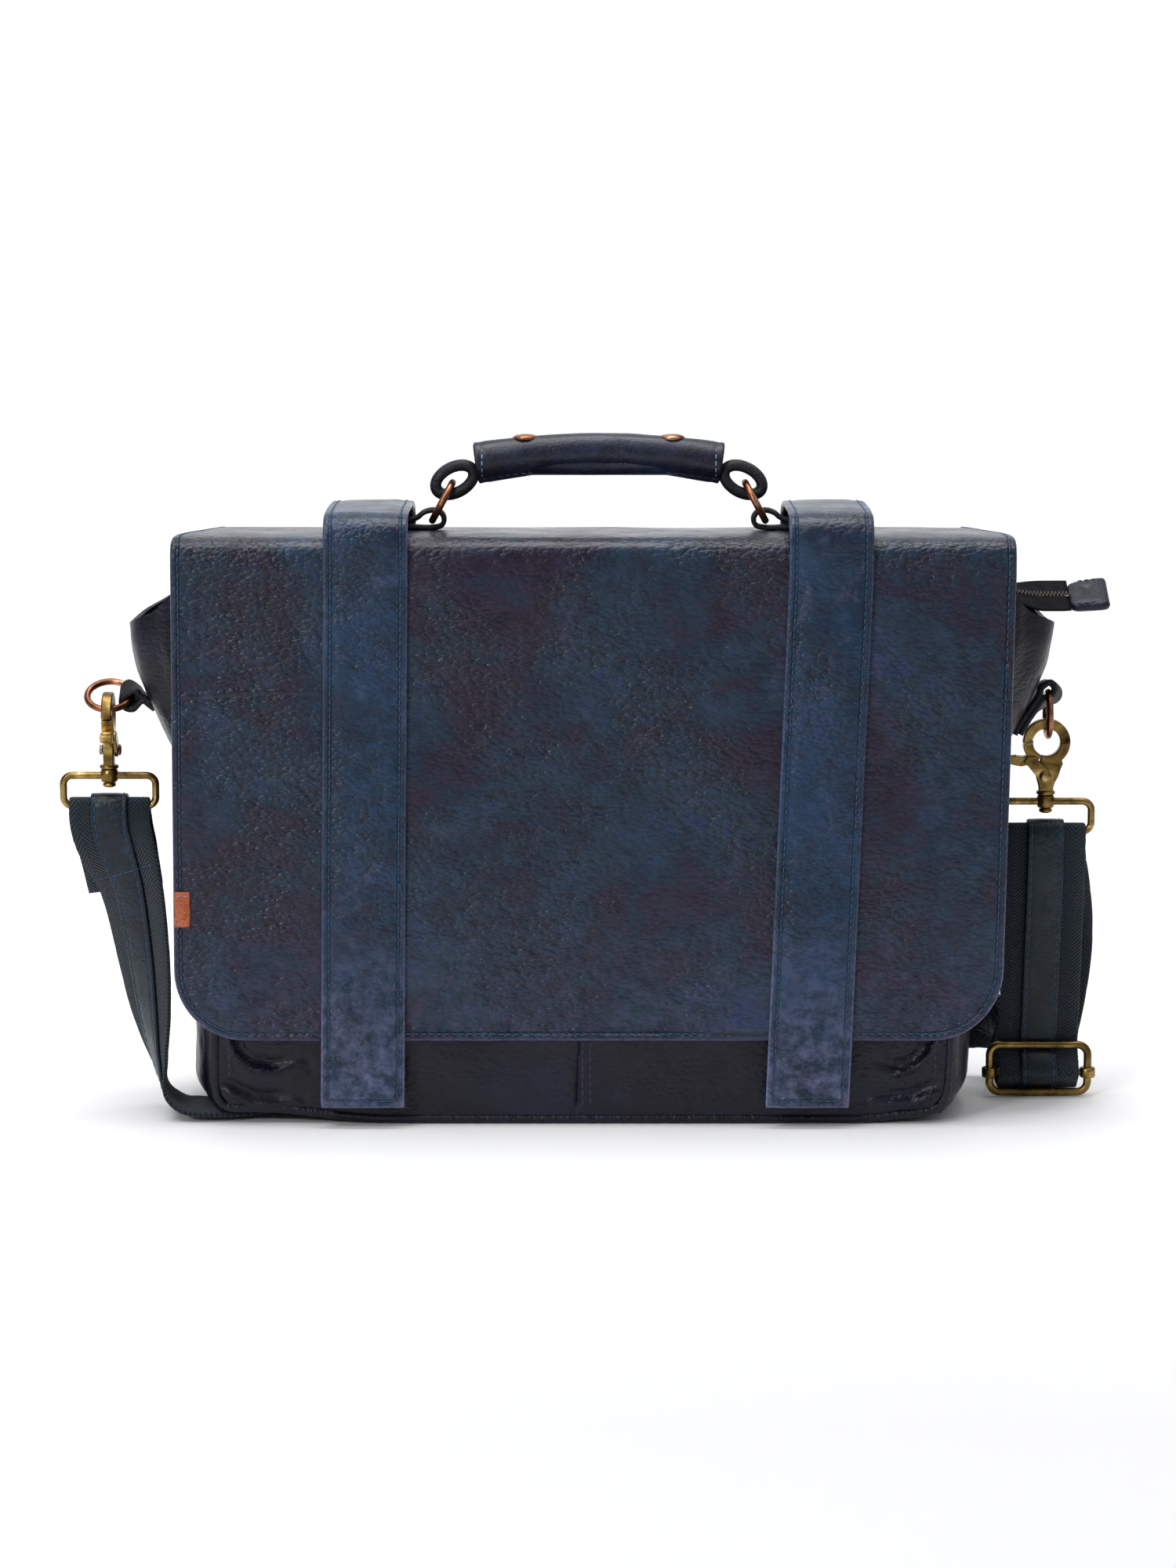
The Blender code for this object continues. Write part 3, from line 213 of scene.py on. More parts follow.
def leather(name, tones, worn, rough=(0.36, 0.56), grain=1.0, pebble=620.0, cloud=11.0, uv=True,
            seam=True, coat=0.1, scuff=0.5, worn_end=None, wear_depth=0.6):
    """Grained leather: cloudy dye, pebbles and fine wrinkles, rubbed edges and a sunken stitch line, with
    painted shade darkening the pebbles' hollows, the wrinkle lines and the stitch groove.

    pebble and cloud are cells per metre. worn_end is the stretch along the piece that is rubbed most.
    """
    paint = Paint(name, uv, Specular_IOR_Level=0.27, Coat_Weight=coat, Coat_Roughness=0.24)
    flat = paint.node("Mapping", {"Vector": paint.shifted(0.0007, 500.0), "Scale": (0.8, 1.25, 1.0)})
    pebbles = paint.cells(pebble, flat.outputs[0])
    domes = paint.math("MULTIPLY", paint.math("MULTIPLY", pebbles, pebbles), -1.25)
    fine = paint.noise(2600.0, 2.0)
    drawn = paint.node("Mapping", {"Vector": paint.place, "Rotation": (0, 0, 0.35), "Scale": (0.4, 1.0, 1.0)})
    wrinkles = paint.noise(190.0, 4.0, 0.55, 0.9, drawn.outputs[0])
    wrinkles = paint.math("ABSOLUTE", paint.math("SUBTRACT", wrinkles, 0.5))
    wrinkles = paint.span(wrinkles, 0.0, 0.045)
    swell = paint.noise(95.0, 3.0, 0.5)

    patchy = paint.span(paint.noise(16.0, 3.0, 0.5), 0.38, 0.62, 0.3, 1.0)
    height = paint.math("MULTIPLY_ADD", domes, patchy, paint.math("MULTIPLY", fine, 0.08))
    height = paint.math("MULTIPLY_ADD", paint.math("MULTIPLY", wrinkles, patchy), 0.22, height)
    height = paint.math("MULTIPLY_ADD", swell, 0.9, height)

    clouds = paint.noise(cloud, 5.0, 0.58, 0.9)
    mottle = paint.noise(cloud * 7.0, 4.0, 0.6, 0.6)
    share = paint.math("MULTIPLY_ADD", mottle, 0.34, paint.math("MULTIPLY", clouds, 0.66))
    stops = [(mix(0.36, 0.64, i / (len(tones) - 1)), tone) for i, tone in enumerate(tones)]
    colour = paint.ramp(share, *stops)
    rubbed = paint.span(paint.noise(cloud * 2.6, 6.0, 0.66, 1.2), 0.56, 0.78, 0.0, scuff)
    colour = paint.blend(rubbed, colour, worn)
    # Painted shade: the colour is darkened in the hollows between the pebbles.
    pebble_hollow_shade = paint.math("MULTIPLY", paint.span(pebbles, 0.25, 0.75, 0.0, 0.6), patchy)
    colour = paint.blend(pebble_hollow_shade, colour, tuple(c * 0.3 for c in tones[0]))
    # Painted shade: the colour is darkened along the wrinkle lines.
    colour = paint.blend(paint.span(wrinkles, 0.0, 1.0, 0.35, 0.0), colour, tuple(c * 0.4 for c in tones[0]))

    roughness = paint.span(paint.noise(cloud * 4.0, 3.0), 0.35, 0.65, *rough)
    if worn_end:
        along = paint.node("SeparateXYZ", {0: paint.place}).outputs[1]
        near_end = paint.span(along, *worn_end)
        spots = paint.span(paint.noise(130.0, 5.0, 0.7), 0.42, 0.7, 0.0, wear_depth)
        rub = paint.math("MULTIPLY", near_end, spots)
        colour = paint.blend(rub, colour, worn)
    if seam:
        edge = paint.layer("edge")
        inside = paint.math("SUBTRACT", edge, 1.0)
        ragged = paint.math("MULTIPLY_ADD", paint.noise(420.0, 4.0, 0.65), 2.0, inside)
        wear = paint.span(ragged, 0.2, 1.1, 1.0, 0.0)
        if worn_end:
            wear = paint.math("MULTIPLY", wear, paint.math("MULTIPLY_ADD", near_end, 0.65, 0.35))
        colour = paint.blend(wear, colour, tuple(min(1.0, c * 1.1) for c in worn))
        off = paint.math("ABSOLUTE", paint.math("SUBTRACT", edge, STITCH_INSET))
        groove = paint.span(off, 0.3, 1.1, 1.0, 0.0)
        height = paint.math("MULTIPLY_ADD", groove, -0.9, height)
        # Painted shade: the colour is darkened in the sunken stitch groove.
        colour = paint.blend(paint.math("MULTIPLY", groove, 0.55), colour, tuple(c * 0.3 for c in tones[0]))
    return paint.finish(colour, roughness, height, 0.23 * grain / pebble)


def woven(name, tone, pale, pitch=0.0019, column=0.0095, depth=0.0007):
    """Herringbone webbing; the mesh's UV runs across and along it in metres."""
    paint = Paint(name, Specular_IOR_Level=0.25, Sheen_Weight=0.15, Sheen_Roughness=0.5)
    split = paint.node("SeparateXYZ", {0: paint.place})
    across, along = split.outputs[0], split.outputs[1]
    fold = paint.math("PINGPONG", across, column / 2)
    phase = paint.math("MULTIPLY", paint.math("ADD", along, fold), 2 * math.pi / pitch)
    rib = paint.math("MULTIPLY_ADD", paint.math("SINE", phase), 0.5, 0.5)
    spin = paint.math("MULTIPLY", paint.math("SUBTRACT", along, paint.math("MULTIPLY", fold, 2.2)),
                      2 * math.pi / (pitch * 0.42))
    strand = paint.math("MULTIPLY_ADD", paint.math("SINE", spin), 0.5, 0.5)
    fuzz = paint.noise(2400.0, 3.0)
    height = paint.math("MULTIPLY_ADD", strand, 0.22, paint.math("POWER", rib, 0.6))
    height = paint.math("MULTIPLY_ADD", fuzz, 0.25, height)
    # Painted shade: the colour is darkened in the valleys between the ribs and is paler on their crests.
    colour = paint.ramp(rib, (0.0, tuple(c * 0.22 for c in tone)), (0.6, tone), (1.0, pale))
    colour = paint.blend(paint.span(paint.noise(700.0, 3.0), 0.4, 0.7, 0.0, 0.4), colour, tone)
    rough = paint.span(fuzz, 0.3, 0.7, 0.75, 0.95)
    return paint.finish(colour, rough, height, depth)


def cloth(name, tone, pitch=0.0011, uv=False):
    """Plain weave lining or zip tape."""
    paint = Paint(name, uv, Specular_IOR_Level=0.15)
    split = paint.node("SeparateXYZ", {0: paint.place})
    waves = [paint.math("SINE", paint.math("MULTIPLY", split.outputs[i], 2 * math.pi / pitch))
             for i in range(3)]
    weave = paint.math("ADD", paint.math("ADD", waves[0], waves[1]), waves[2])
    height = paint.math("MULTIPLY_ADD", paint.noise(1500.0, 3.0), 0.6, paint.math("MULTIPLY", weave, 0.2))
    colour = paint.blend(paint.noise(60.0, 4.0), tuple(c * 0.6 for c in tone), tuple(c * 1.5 for c in tone))
    rough = paint.span(paint.noise(200.0, 2.0), 0.3, 0.7, 0.8, 0.95)
    return paint.finish(colour, rough, height, 0.0002)


def metal(name, bright, mid, dark, rough=(0.22, 0.46), scale=70.0, patina=0.5):
    """Antique plated metal: rubbed bright in patches, dark in others, with fine scratches."""
    paint = Paint(name, False, Metallic=1.0)
    patches = paint.noise(scale, 5.0, 0.6, 0.8)
    colour = paint.ramp(patches, (0.30, dark), (0.30 + 0.3 * patina, mid), (0.72, bright))
    scratch = paint.node("Mapping", {"Vector": paint.place, "Scale": (1.0, 1.0, 9.0)})
    lines = paint.noise(420.0, 3.0, 0.7, 0.0, scratch.outputs[0])
    roughness = paint.span(paint.math("MULTIPLY_ADD", lines, 0.4, paint.math("MULTIPLY", patches, 0.6)),
                           0.35, 0.65, rough[1], rough[0])
    height = paint.math("MULTIPLY_ADD", lines, 0.3, paint.noise(260.0, 3.0))
    return paint.finish(colour, roughness, height, 0.00012)


def thread(name, tone):
    """Twisted sewing thread."""
    paint = Paint(name, False, Specular_IOR_Level=0.4)
    twist = paint.noise(900.0, 2.0)
    colour = paint.blend(twist, tuple(c * 0.55 for c in tone), tuple(min(1.0, c * 1.4) for c in tone))
    return paint.finish(colour, paint.span(twist, 0.3, 0.7, 0.45, 0.65), twist, 0.0001)


flap_leather = leather(
    "flap_leather",
    (srgb(25, 20, 36), srgb(37, 29, 49), srgb(24, 39, 57), srgb(30, 50, 70), srgb(34, 47, 84)),
    srgb(82, 79, 114), rough=(0.24, 0.36), pebble=440.0, scuff=0.34, worn_end=(-0.31, -0.385),
    wear_depth=0.28)
strap_leather = leather(
    "strap_leather", (srgb(26, 27, 49), srgb(20, 41, 62), srgb(27, 53, 79), srgb(37, 57, 92)),
    srgb(102, 106, 142), rough=(0.26, 0.38), pebble=520.0, cloud=15.0, scuff=0.42, worn_end=(-0.37, -0.45),
    wear_depth=0.7)
body_leather = leather(
    "body_leather", (srgb(10, 9, 21), srgb(15, 14, 31), srgb(20, 23, 47)), srgb(36, 40, 70),
    rough=(0.31, 0.43), grain=0.6, pebble=480.0, scuff=0.2, seam=False, coat=0.05)
handle_leather = leather(
    "handle_leather", (srgb(18, 17, 28), srgb(24, 26, 42), srgb(34, 42, 66)), srgb(60, 66, 96),
    rough=(0.3, 0.44), grain=0.5, pebble=800.0, seam=False, uv=False)
loop_leather = leather(
    "loop_leather", (srgb(13, 13, 19), srgb(19, 20, 28), srgb(27, 29, 40)), srgb(48, 50, 66),
    rough=(0.5, 0.7), grain=1.2, pebble=900.0, seam=False, uv=False)
strip_leather = leather(
    "strip_leather", (srgb(8, 16, 25), srgb(10, 27, 38), srgb(15, 38, 52)), srgb(48, 76, 98),
    rough=(0.36, 0.52), grain=0.8, pebble=760.0, cloud=22.0, seam=False)
tag_leather = leather(
    "tag_leather", (srgb(150, 70, 40), srgb(186, 98, 60), srgb(206, 122, 82)), srgb(226, 160, 122),
    rough=(0.45, 0.6), pebble=1500.0, cloud=60.0, seam=False)
tab_leather = leather(
    "tab_leather", (srgb(10, 11, 22), srgb(15, 18, 35), srgb(22, 29, 52)), srgb(50, 57, 88),
    rough=(0.4, 0.54), grain=0.7, pebble=760.0, cloud=30.0, seam=False)
webbing_cloth = woven("webbing_cloth", srgb(12, 22, 34), srgb(32, 54, 74))
lining_cloth = cloth("lining_cloth", srgb(66, 62, 58))
pad_cloth = cloth("pad_cloth", srgb(46, 46, 52), 0.0022)
tape_cloth = cloth("tape_cloth", srgb(13, 13, 18))
board_paint = cloth("board_paint", srgb(110, 96, 76), 0.004)
brass = metal("antique_brass", srgb(204, 174, 112), srgb(132, 106, 58), srgb(40, 29, 15), patina=0.7)
copper = metal("copper", srgb(206, 154, 124), srgb(142, 92, 66), srgb(54, 32, 24), patina=0.7)
steel = metal("steel", srgb(190, 186, 176), srgb(150, 146, 138), srgb(80, 78, 72))
blue_thread = thread("blue_thread", srgb(32, 76, 110))
pale_thread = thread("pale_thread", srgb(120, 150, 184))
dark_thread = thread("dark_thread", srgb(56, 60, 92))
teeth_paint = thread("teeth_paint", srgb(62, 54, 46))


# ---------------------------------------------------------------- mesh helpers

def place(obj, body, slot, stands_for=()):
    """Puts a piece on its CAD body and hides the CAD nodes it stands for; slot is not used."""
    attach(obj, body)
    if stands_for:
        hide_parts(*stands_for)
    return obj


def mesh_object(name, points, faces, material, uvs=None, layers=None):
    """A smooth-shaded object from points in millimetres; layers are named values for each point."""
    mesh = bpy.data.meshes.new(name)
    mesh.from_pydata([tuple(c * MM for c in p) for p in points], [], faces)
    mesh.polygons.foreach_set("use_smooth", [True] * len(mesh.polygons))
    if uvs is not None:
        layer = mesh.uv_layers.new(name="UVMap")
        loops = np.zeros(len(mesh.loops), np.int32)
        mesh.loops.foreach_get("vertex_index", loops)
        layer.data.foreach_set("uv", np.array(uvs, np.float32)[loops].ravel())
    for key, values in (layers or {}).items():
        mesh.attributes.new(key, "FLOAT", "POINT").data.foreach_set("value", np.array(values, np.float32))
    mesh.materials.append(material)
    mesh.update()
    obj = bpy.data.objects.new(name, mesh)
    bpy.context.scene.collection.objects.link(obj)
    return obj


def slab(name, middle, edge, uv, thick, material, caps=()):
    """A sheet with rounded raw edges.

    middle is a grid of points, edge each point's distance from a raw edge, caps the rows closed flat.
    """
    middle = np.array(middle, float)
    edge = np.array(edge, float)
    rows, columns = edge.shape
    along = np.gradient(middle, axis=0)
    across = np.gradient(middle, axis=1)
    normal = np.cross(across, along)
    size = np.linalg.norm(normal, axis=2, keepdims=True)
    normal = normal / np.maximum(size, 1e-9)
    reach = np.clip(edge / (thick / 2), 0.0, 1.0)
    half = (thick / 2) * np.sqrt(np.maximum(0.0, 1.0 - (1.0 - reach) ** 2))
    outer = middle + normal * half[..., None]
    inner = middle - normal * half[..., None]
    points, uvs, edges = [], [], []
    index = np.zeros((2, rows, columns), int)
    for side, grid in enumerate((outer, inner)):
        for r in range(rows):
            for c in range(columns):
                if side and half[r, c] < 1e-4:
                    index[1, r, c] = index[0, r, c]
                    continue
                index[side, r, c] = len(points)
                points.append(grid[r, c])
                uvs.append(uv[r][c])
                edges.append(min(edge[r, c], 20.0))
    faces = []
    for r in range(rows - 1):
        for c in range(columns - 1):
            o, i = index[0], index[1]
            faces.append((o[r, c], o[r, c + 1], o[r + 1, c + 1], o[r + 1, c]))
            faces.append((i[r, c], i[r + 1, c], i[r + 1, c + 1], i[r, c + 1]))
    borders = {"first": ([(0, c) for c in range(columns)], False),
               "last": ([(rows - 1, c) for c in range(columns)], True)}
    for cap in caps:
        cells, flip = borders[cap]
        start = len(points)
        for r, c in cells:
            for side in (0, 1):
                points.append(points[index[side, r, c]])
                uvs.append(uv[r][c])
                edges.append(20.0)
        for k in range(len(cells) - 1):
            a = start + 2 * k
            quad = (a, a + 1, a + 3, a + 2)
            if half[cells[k]] < 1e-4:
                quad = (a, a + 3, a + 2)
            elif half[cells[k + 1]] < 1e-4:
                quad = (a, a + 1, a + 2)
            faces.append(quad[::-1] if flip else quad)
    used = sorted({i for face in faces for i in face})
    order = {old: new for new, old in enumerate(used)}
    faces = [tuple(order[i] for i in face) for face in faces]
    return mesh_object(name, [points[i] for i in used], faces, material, [uvs[i] for i in used],
                       {"edge": [edges[i] for i in used]})


def tube(name, path, radius, material, sides=10, closed=False, up=Y_AXIS, flat=1.0):
    """A round or oval bar along a path; radius may be a function of the share along it."""
    count = len(path)
    points, faces, uvs = [], [], []
    run = 0.0
    for i, point in enumerate(path):
        before = path[i - 1] if (closed or i > 0) else point
        after = path[(i + 1) % count] if (closed or i < count - 1) else point
        along = (after - before).normalized()
        side = along.cross(up).normalized()
        top = side.cross(along)
        size = radius(i / (count - 1)) if callable(radius) else radius
        if i:
            run += (point - path[i - 1]).length
        for k in range(sides):
            angle = 2 * math.pi * k / sides
            points.append(point + size * (side * math.cos(angle) + top * math.sin(angle) * flat))
            uvs.append((size * angle * MM, run * MM))
    for i in range(count if closed else count - 1):
        for k in range(sides):
            a, b = i * sides + k, i * sides + (k + 1) % sides
            c, d = ((i + 1) % count) * sides + (k + 1) % sides, ((i + 1) % count) * sides + k
            faces.append((a, b, c, d))
    if not closed:
        faces.append(tuple(range(sides))[::-1])
        faces.append(tuple(range((count - 1) * sides, count * sides)))
    return mesh_object(name, points, faces, material, uvs)


def circle(centre, first, second, radius, count):
    centre = Vector(centre)
    turns = [2 * math.pi * i / count for i in range(count)]
    return [centre + radius * (first * math.cos(a) + second * math.sin(a)) for a in turns]


def band(name, path, across, width, thick, material, crown=0.0, closed=False):
    """A leather strip with round edges along a path; across is its width direction, or one for each point."""
    half = width / 2
    offsets = [0.0, 0.3, 0.8, 1.5, 2.6, 4.0]
    columns = [-half + o for o in offsets if o < half - 0.5]
    columns += [mix(columns[-1], -columns[-1], i / 6) for i in range(1, 6)]
    columns += [half - o for o in offsets[::-1] if o < half - 0.5]
    count = len(path)
    points, faces, uvs, edges = [], [], [], []
    section = []
    run = 0.0
    widths = across if isinstance(across, list) else [across] * count
    for i, point in enumerate(path):
        before = path[i - 1] if (closed or i > 0) else point
        after = path[(i + 1) % count] if (closed or i < count - 1) else point
        across = widths[i]
        normal = (after - before).normalized().cross(across).normalized()
        if i:
            run += (point - path[i - 1]).length
        loop = []
        for side in (1, -1):
            for a in (columns if side > 0 else columns[::-1][1:-1]):
                gap = min((half - abs(a)) / (thick / 2), 1.0)
                height = thick / 2 * math.sqrt(max(0.0, 1 - (1 - gap) ** 2))
                lift = height + (crown * max(0.0, 1 - (a / half) ** 2) if side > 0 else 0.0)
                loop.append(len(points))
                points.append(point + across * a + normal * (side * lift))
                uvs.append((a * MM, run * MM))
                edges.append(half - abs(a))
        section.append(loop)
    size = len(section[0])
    for i in range(count if closed else count - 1):
        a, b = section[i], section[(i + 1) % count]
        for k in range(size):
            faces.append((a[k], a[(k + 1) % size], b[(k + 1) % size], b[k]))
    if not closed:
        faces += [tuple(section[0])[::-1], tuple(section[-1])]
    return mesh_object(name, points, faces, material, uvs, {"edge": edges})


def curve(points, step, closed=False):
    """Smooth curve through points (centripetal Catmull-Rom), resampled at an even step."""
    guide = [Vector(p) for p in points]
    if closed:
        guide = [guide[-1]] + guide + guide[:2]
    else:
        guide = [guide[0] * 2 - guide[1]] + guide + [guide[-1] * 2 - guide[-2]]
    dense = []
    for p0, p1, p2, p3 in zip(guide, guide[1:], guide[2:], guide[3:]):
        t0 = 0.0
        t1 = t0 + math.sqrt((p1 - p0).length)
        t2 = t1 + math.sqrt((p2 - p1).length)
        t3 = t2 + math.sqrt((p3 - p2).length)
        for i in range(24):
            t = mix(t1, t2, i / 24)
            a1 = p0.lerp(p1, (t - t0) / (t1 - t0))
            a2 = p1.lerp(p2, (t - t1) / (t2 - t1))
            a3 = p2.lerp(p3, (t - t2) / (t3 - t2))
            b1 = a1.lerp(a2, (t - t0) / (t2 - t0))
            b2 = a2.lerp(a3, (t - t1) / (t3 - t1))
            dense.append(b1.lerp(b2, (t - t1) / (t2 - t1)))
    dense.append(guide[-2].copy())
    lengths = np.concatenate([[0.0], np.cumsum([(b - a).length for a, b in zip(dense, dense[1:])])])
    total = lengths[-1]
    count = max(2, round(total / step))
    array = np.array(dense)
    targets = np.linspace(0.0, total, count + 1)
    if closed:
        targets = targets[:-1]
    return [Vector([np.interp(t, lengths, array[:, k]) for k in range(len(dense[0]))]) for t in targets]


def bars(name, spots, length, radius, material, sides=6, sag=0.4):
    """Small rounded bars such as stitches or zip teeth. A spot is its place, direction and face normal."""
    points, faces = [], []
    profile = ((-0.5, -sag, 0.45), (-0.36, 0.0, 0.9), (0.0, 0.12, 1.0), (0.36, 0.0, 0.9),
               (0.5, -sag, 0.45))
    for spot, along, normal in spots:
        side = along.cross(normal).normalized()
        start = len(points)
        for share, lift, size in profile:
            for k in range(sides):
                angle = 2 * math.pi * k / sides
                points.append(spot + along * (length * share) + normal * (lift * radius * 2)
                              + radius * size * (side * math.cos(angle) + normal * math.sin(angle)))
        for r in range(len(profile) - 1):
            for k in range(sides):
                a, b = start + r * sides + k, start + r * sides + (k + 1) % sides
                faces.append((a, a + sides, b + sides, b))
        faces.append(tuple(start + k for k in range(sides)))
        last = start + (len(profile) - 1) * sides
        faces.append(tuple(last + k for k in range(sides))[::-1])
    return mesh_object(name, points, faces, material)


def spots_along(line, pitch, slant=0.0, start=0.0):
    """Places along a line of (point, normal), a pitch apart, with the direction of each stitch."""
    spots = []
    left = start + pitch / 2
    for (a, na), (b, nb) in zip(line, line[1:]):
        span = (b - a).length
        if span < 1e-9:
            continue
        along = (b - a) / span
        while left <= span:
            share = left / span
            normal = na.lerp(nb, share).normalized()
            side = along.cross(normal)
            spots.append((a.lerp(b, share), (along + side * slant).normalized(), normal))
            left += pitch
        left -= span
    return spots


def joined(name, objects):
    """One object from several, keeping each one's material."""
    bm = bmesh.new()
    mesh = bpy.data.meshes.new(name)
    for slot_index, obj in enumerate(objects):
        start = len(bm.faces)
        bm.from_mesh(obj.data)
        bm.faces.ensure_lookup_table()
        for face in bm.faces[start:]:
            face.material_index = slot_index
        mesh.materials.append(obj.data.materials[0])
        bpy.data.objects.remove(obj)
    bm.to_mesh(mesh)
    bm.free()
    result = bpy.data.objects.new(name, mesh)
    bpy.context.scene.collection.objects.link(result)
    return result


def prism(name, outline, low, high, put, material, bevel=0.8, segments=3):
    """A cast piece: an outline with its edges rounded."""
    bm = bmesh.new()
    loops = [[bm.verts.new(put(u, w, v) * MM) for u, v in outline] for w in (low, high)]
    count = len(outline)
    bm.faces.new(loops[0])
    bm.faces.new(loops[1][::-1])
    for i in range(count):
        j = (i + 1) % count
        bm.faces.new((loops[0][j], loops[0][i], loops[1][i], loops[1][j]))
    bmesh.ops.recalc_face_normals(bm, faces=bm.faces)
    mesh = bpy.data.meshes.new(name)
    bm.to_mesh(mesh)
    bm.free()
    mesh.materials.append(material)
    mesh.polygons.foreach_set("use_smooth", [True] * len(mesh.polygons))
    obj = bpy.data.objects.new(name, mesh)
    bpy.context.scene.collection.objects.link(obj)
    if bevel:
        step = obj.modifiers.new("round", "BEVEL")
        step.width = bevel * MM
        step.segments = segments
        step.limit_method = "ANGLE"
        step.angle_limit = math.radians(40)
        step.use_clamp_overlap = True
    smooth_faces = obj.modifiers.new("shade", "WEIGHTED_NORMAL")
    smooth_faces.keep_sharp = True
    return obj


def turned(name, profile, centre, axis, material, sides=28):
    """A lathed piece: (radius, height) pairs turned round an axis."""
    axis = Vector(axis).normalized()
    across = axis.orthogonal().normalized()
    other = axis.cross(across)
    centre = Vector(centre)
    points, faces = [], []
    for radius, height in profile:
        for i in range(sides):
            angle = 2 * math.pi * i / sides
            out = across * math.cos(angle) + other * math.sin(angle)
            points.append(centre + axis * height + radius * out)
    for r in range(len(profile) - 1):
        for i in range(sides):
            a, b = r * sides + i, r * sides + (i + 1) % sides
            faces.append((a, b, b + sides, a + sides))
    faces.append(tuple(range(sides))[::-1])
    faces.append(tuple(range((len(profile) - 1) * sides, len(profile) * sides)))
    return mesh_object(name, points, faces, material)


def rounded_rectangle(half_u, half_v, corner, steps):
    points = []
    for turn, (u, v) in enumerate(((1, -1), (1, 1), (-1, 1), (-1, -1))):
        for i in range(steps + 1):
            angle = math.pi / 2 * (turn - 1 + i / steps)
            points.append((u * (half_u - corner) + corner * math.cos(angle),
                           v * (half_v - corner) + corner * math.sin(angle)))
    return points


# ---------------------------------------------------------------- camera, light, floor

def set_stage():
    """Camera, curved pale floor and soft studio light."""
    scene = bpy.context.scene
    camera = bpy.data.objects.new("camera", bpy.data.cameras.new("camera"))
    scene.collection.objects.link(camera)
    camera.location = (-0.0025, -2.058, 0.45)
    aim = Vector((-0.0025, -0.058, 0.162)) - Vector(camera.location)
    camera.rotation_euler = aim.to_track_quat("-Z", "Y").to_euler()
    camera.data.lens = 100.5
    camera.data.clip_end = 20.0
    scene.camera = camera

    floor_paint = Paint("floor_paint", False, Roughness=0.65, Specular_IOR_Level=0.3)
    shade = floor_paint.noise(1.5, 2.0)
    colour = floor_paint.blend(shade, (0.90, 0.90, 0.91), (0.92, 0.92, 0.93))
    floor_paint.finish(colour)
    bend_y, bend_r = 1200.0, 900.0
    profile = [(-3000.0, 0.0), (bend_y, 0.0)]
    profile += [(bend_y + bend_r * math.sin(a), bend_r - bend_r * math.cos(a))
                for a in np.linspace(0.1, math.pi / 2, 14)]
    profile += [(bend_y + bend_r, 4000.0)]
    points = [(x, y, z) for y, z in profile for x in (-6000.0, 6000.0)]
    faces = [(2 * i, 2 * i + 1, 2 * i + 3, 2 * i + 2) for i in range(len(profile) - 1)]
    mesh_object("floor", points, faces, floor_paint.material)

    scene.view_settings.view_transform = "Standard"
    world = bpy.data.worlds.new("studio")
    scene.world = world
    world.use_nodes = True
    background = world.node_tree.nodes["Background"]
    background.inputs["Color"].default_value = (0.95, 0.97, 1.0, 1.0)
    background.inputs["Strength"].default_value = 0.22
    lights = (("key", (-0.9, -1.3, 2.1), (0, 0, 0.15), 0.8, 17),
              ("fill", (1.9, -1.7, 1.2), (0, 0, 0.15), 1.2, 4),
              ("top", (0.0, 0.1, 2.3), (0, 0, 0.2), 1.4, 27),
              ("back", (0.0, 0.4, 1.7), (0, 2.2, 0.7), 2.6, 23),
              ("rim", (0.3, 2.4, 1.5), (0, 0, 0.2), 1.5, 8),
              ("sparkle", (-1.5, -2.5, 1.25), (0, 0, 0.15), 0.45, 25))
    for name, where, target, size, power in lights:
        data = bpy.data.lights.new(name, "AREA")
        data.shape = "DISK"
        data.size = size
        data.energy = power
        light = bpy.data.objects.new(name, data)
        scene.collection.objects.link(light)
        light.location = where
        light.rotation_euler = (Vector(target) - Vector(where)).to_track_quat("-Z", "Y").to_euler()


set_stage()


# ---------------------------------------------------------------- shoulder strap

def spline(points, short, long, twist_step):
    """The CAD's strap curve through (x, y, z, ax, ay, az) stations."""
    def between(p, q, tp, tq, t):
        share = (t - tp) / (tq - tp)
        return [mix(a, b, share) for a, b in zip(p, q)]

    first = [2 * a - b for a, b in zip(points[0], points[1])]
    last = [2 * a - b for a, b in zip(points[-1], points[-2])]
    guide = [first] + [list(p) for p in points] + [last]
    result = []
    for p0, p1, p2, p3 in zip(guide, guide[1:], guide[2:], guide[3:]):
        knots = [0.0]
        for a, b in ((p0, p1), (p1, p2), (p2, p3)):
            knots.append(knots[-1] + math.sqrt(math.dist(a[:3], b[:3])))
        t0, t1, t2, t3 = knots
        gap = math.dist(p1[:3], p2[:3])
        twist = math.degrees(Vector(p1[3:6]).angle(Vector(p2[3:6])))
        steps = max(1, round(gap / (short if gap < 9.0 else long)), math.ceil(twist / twist_step))
        for i in range(steps):
            t = mix(t1, t2, i / steps)
            a1 = between(p0, p1, t0, t1, t)
            a2 = between(p1, p2, t1, t2, t)
            a3 = between(p2, p3, t2, t3, t)
            b1 = between(a1, a2, t0, t2, t)
            b2 = between(a2, a3, t1, t3, t)
            result.append(between(b1, b2, t1, t2, t))
    result.append(list(points[-1]))
    return result


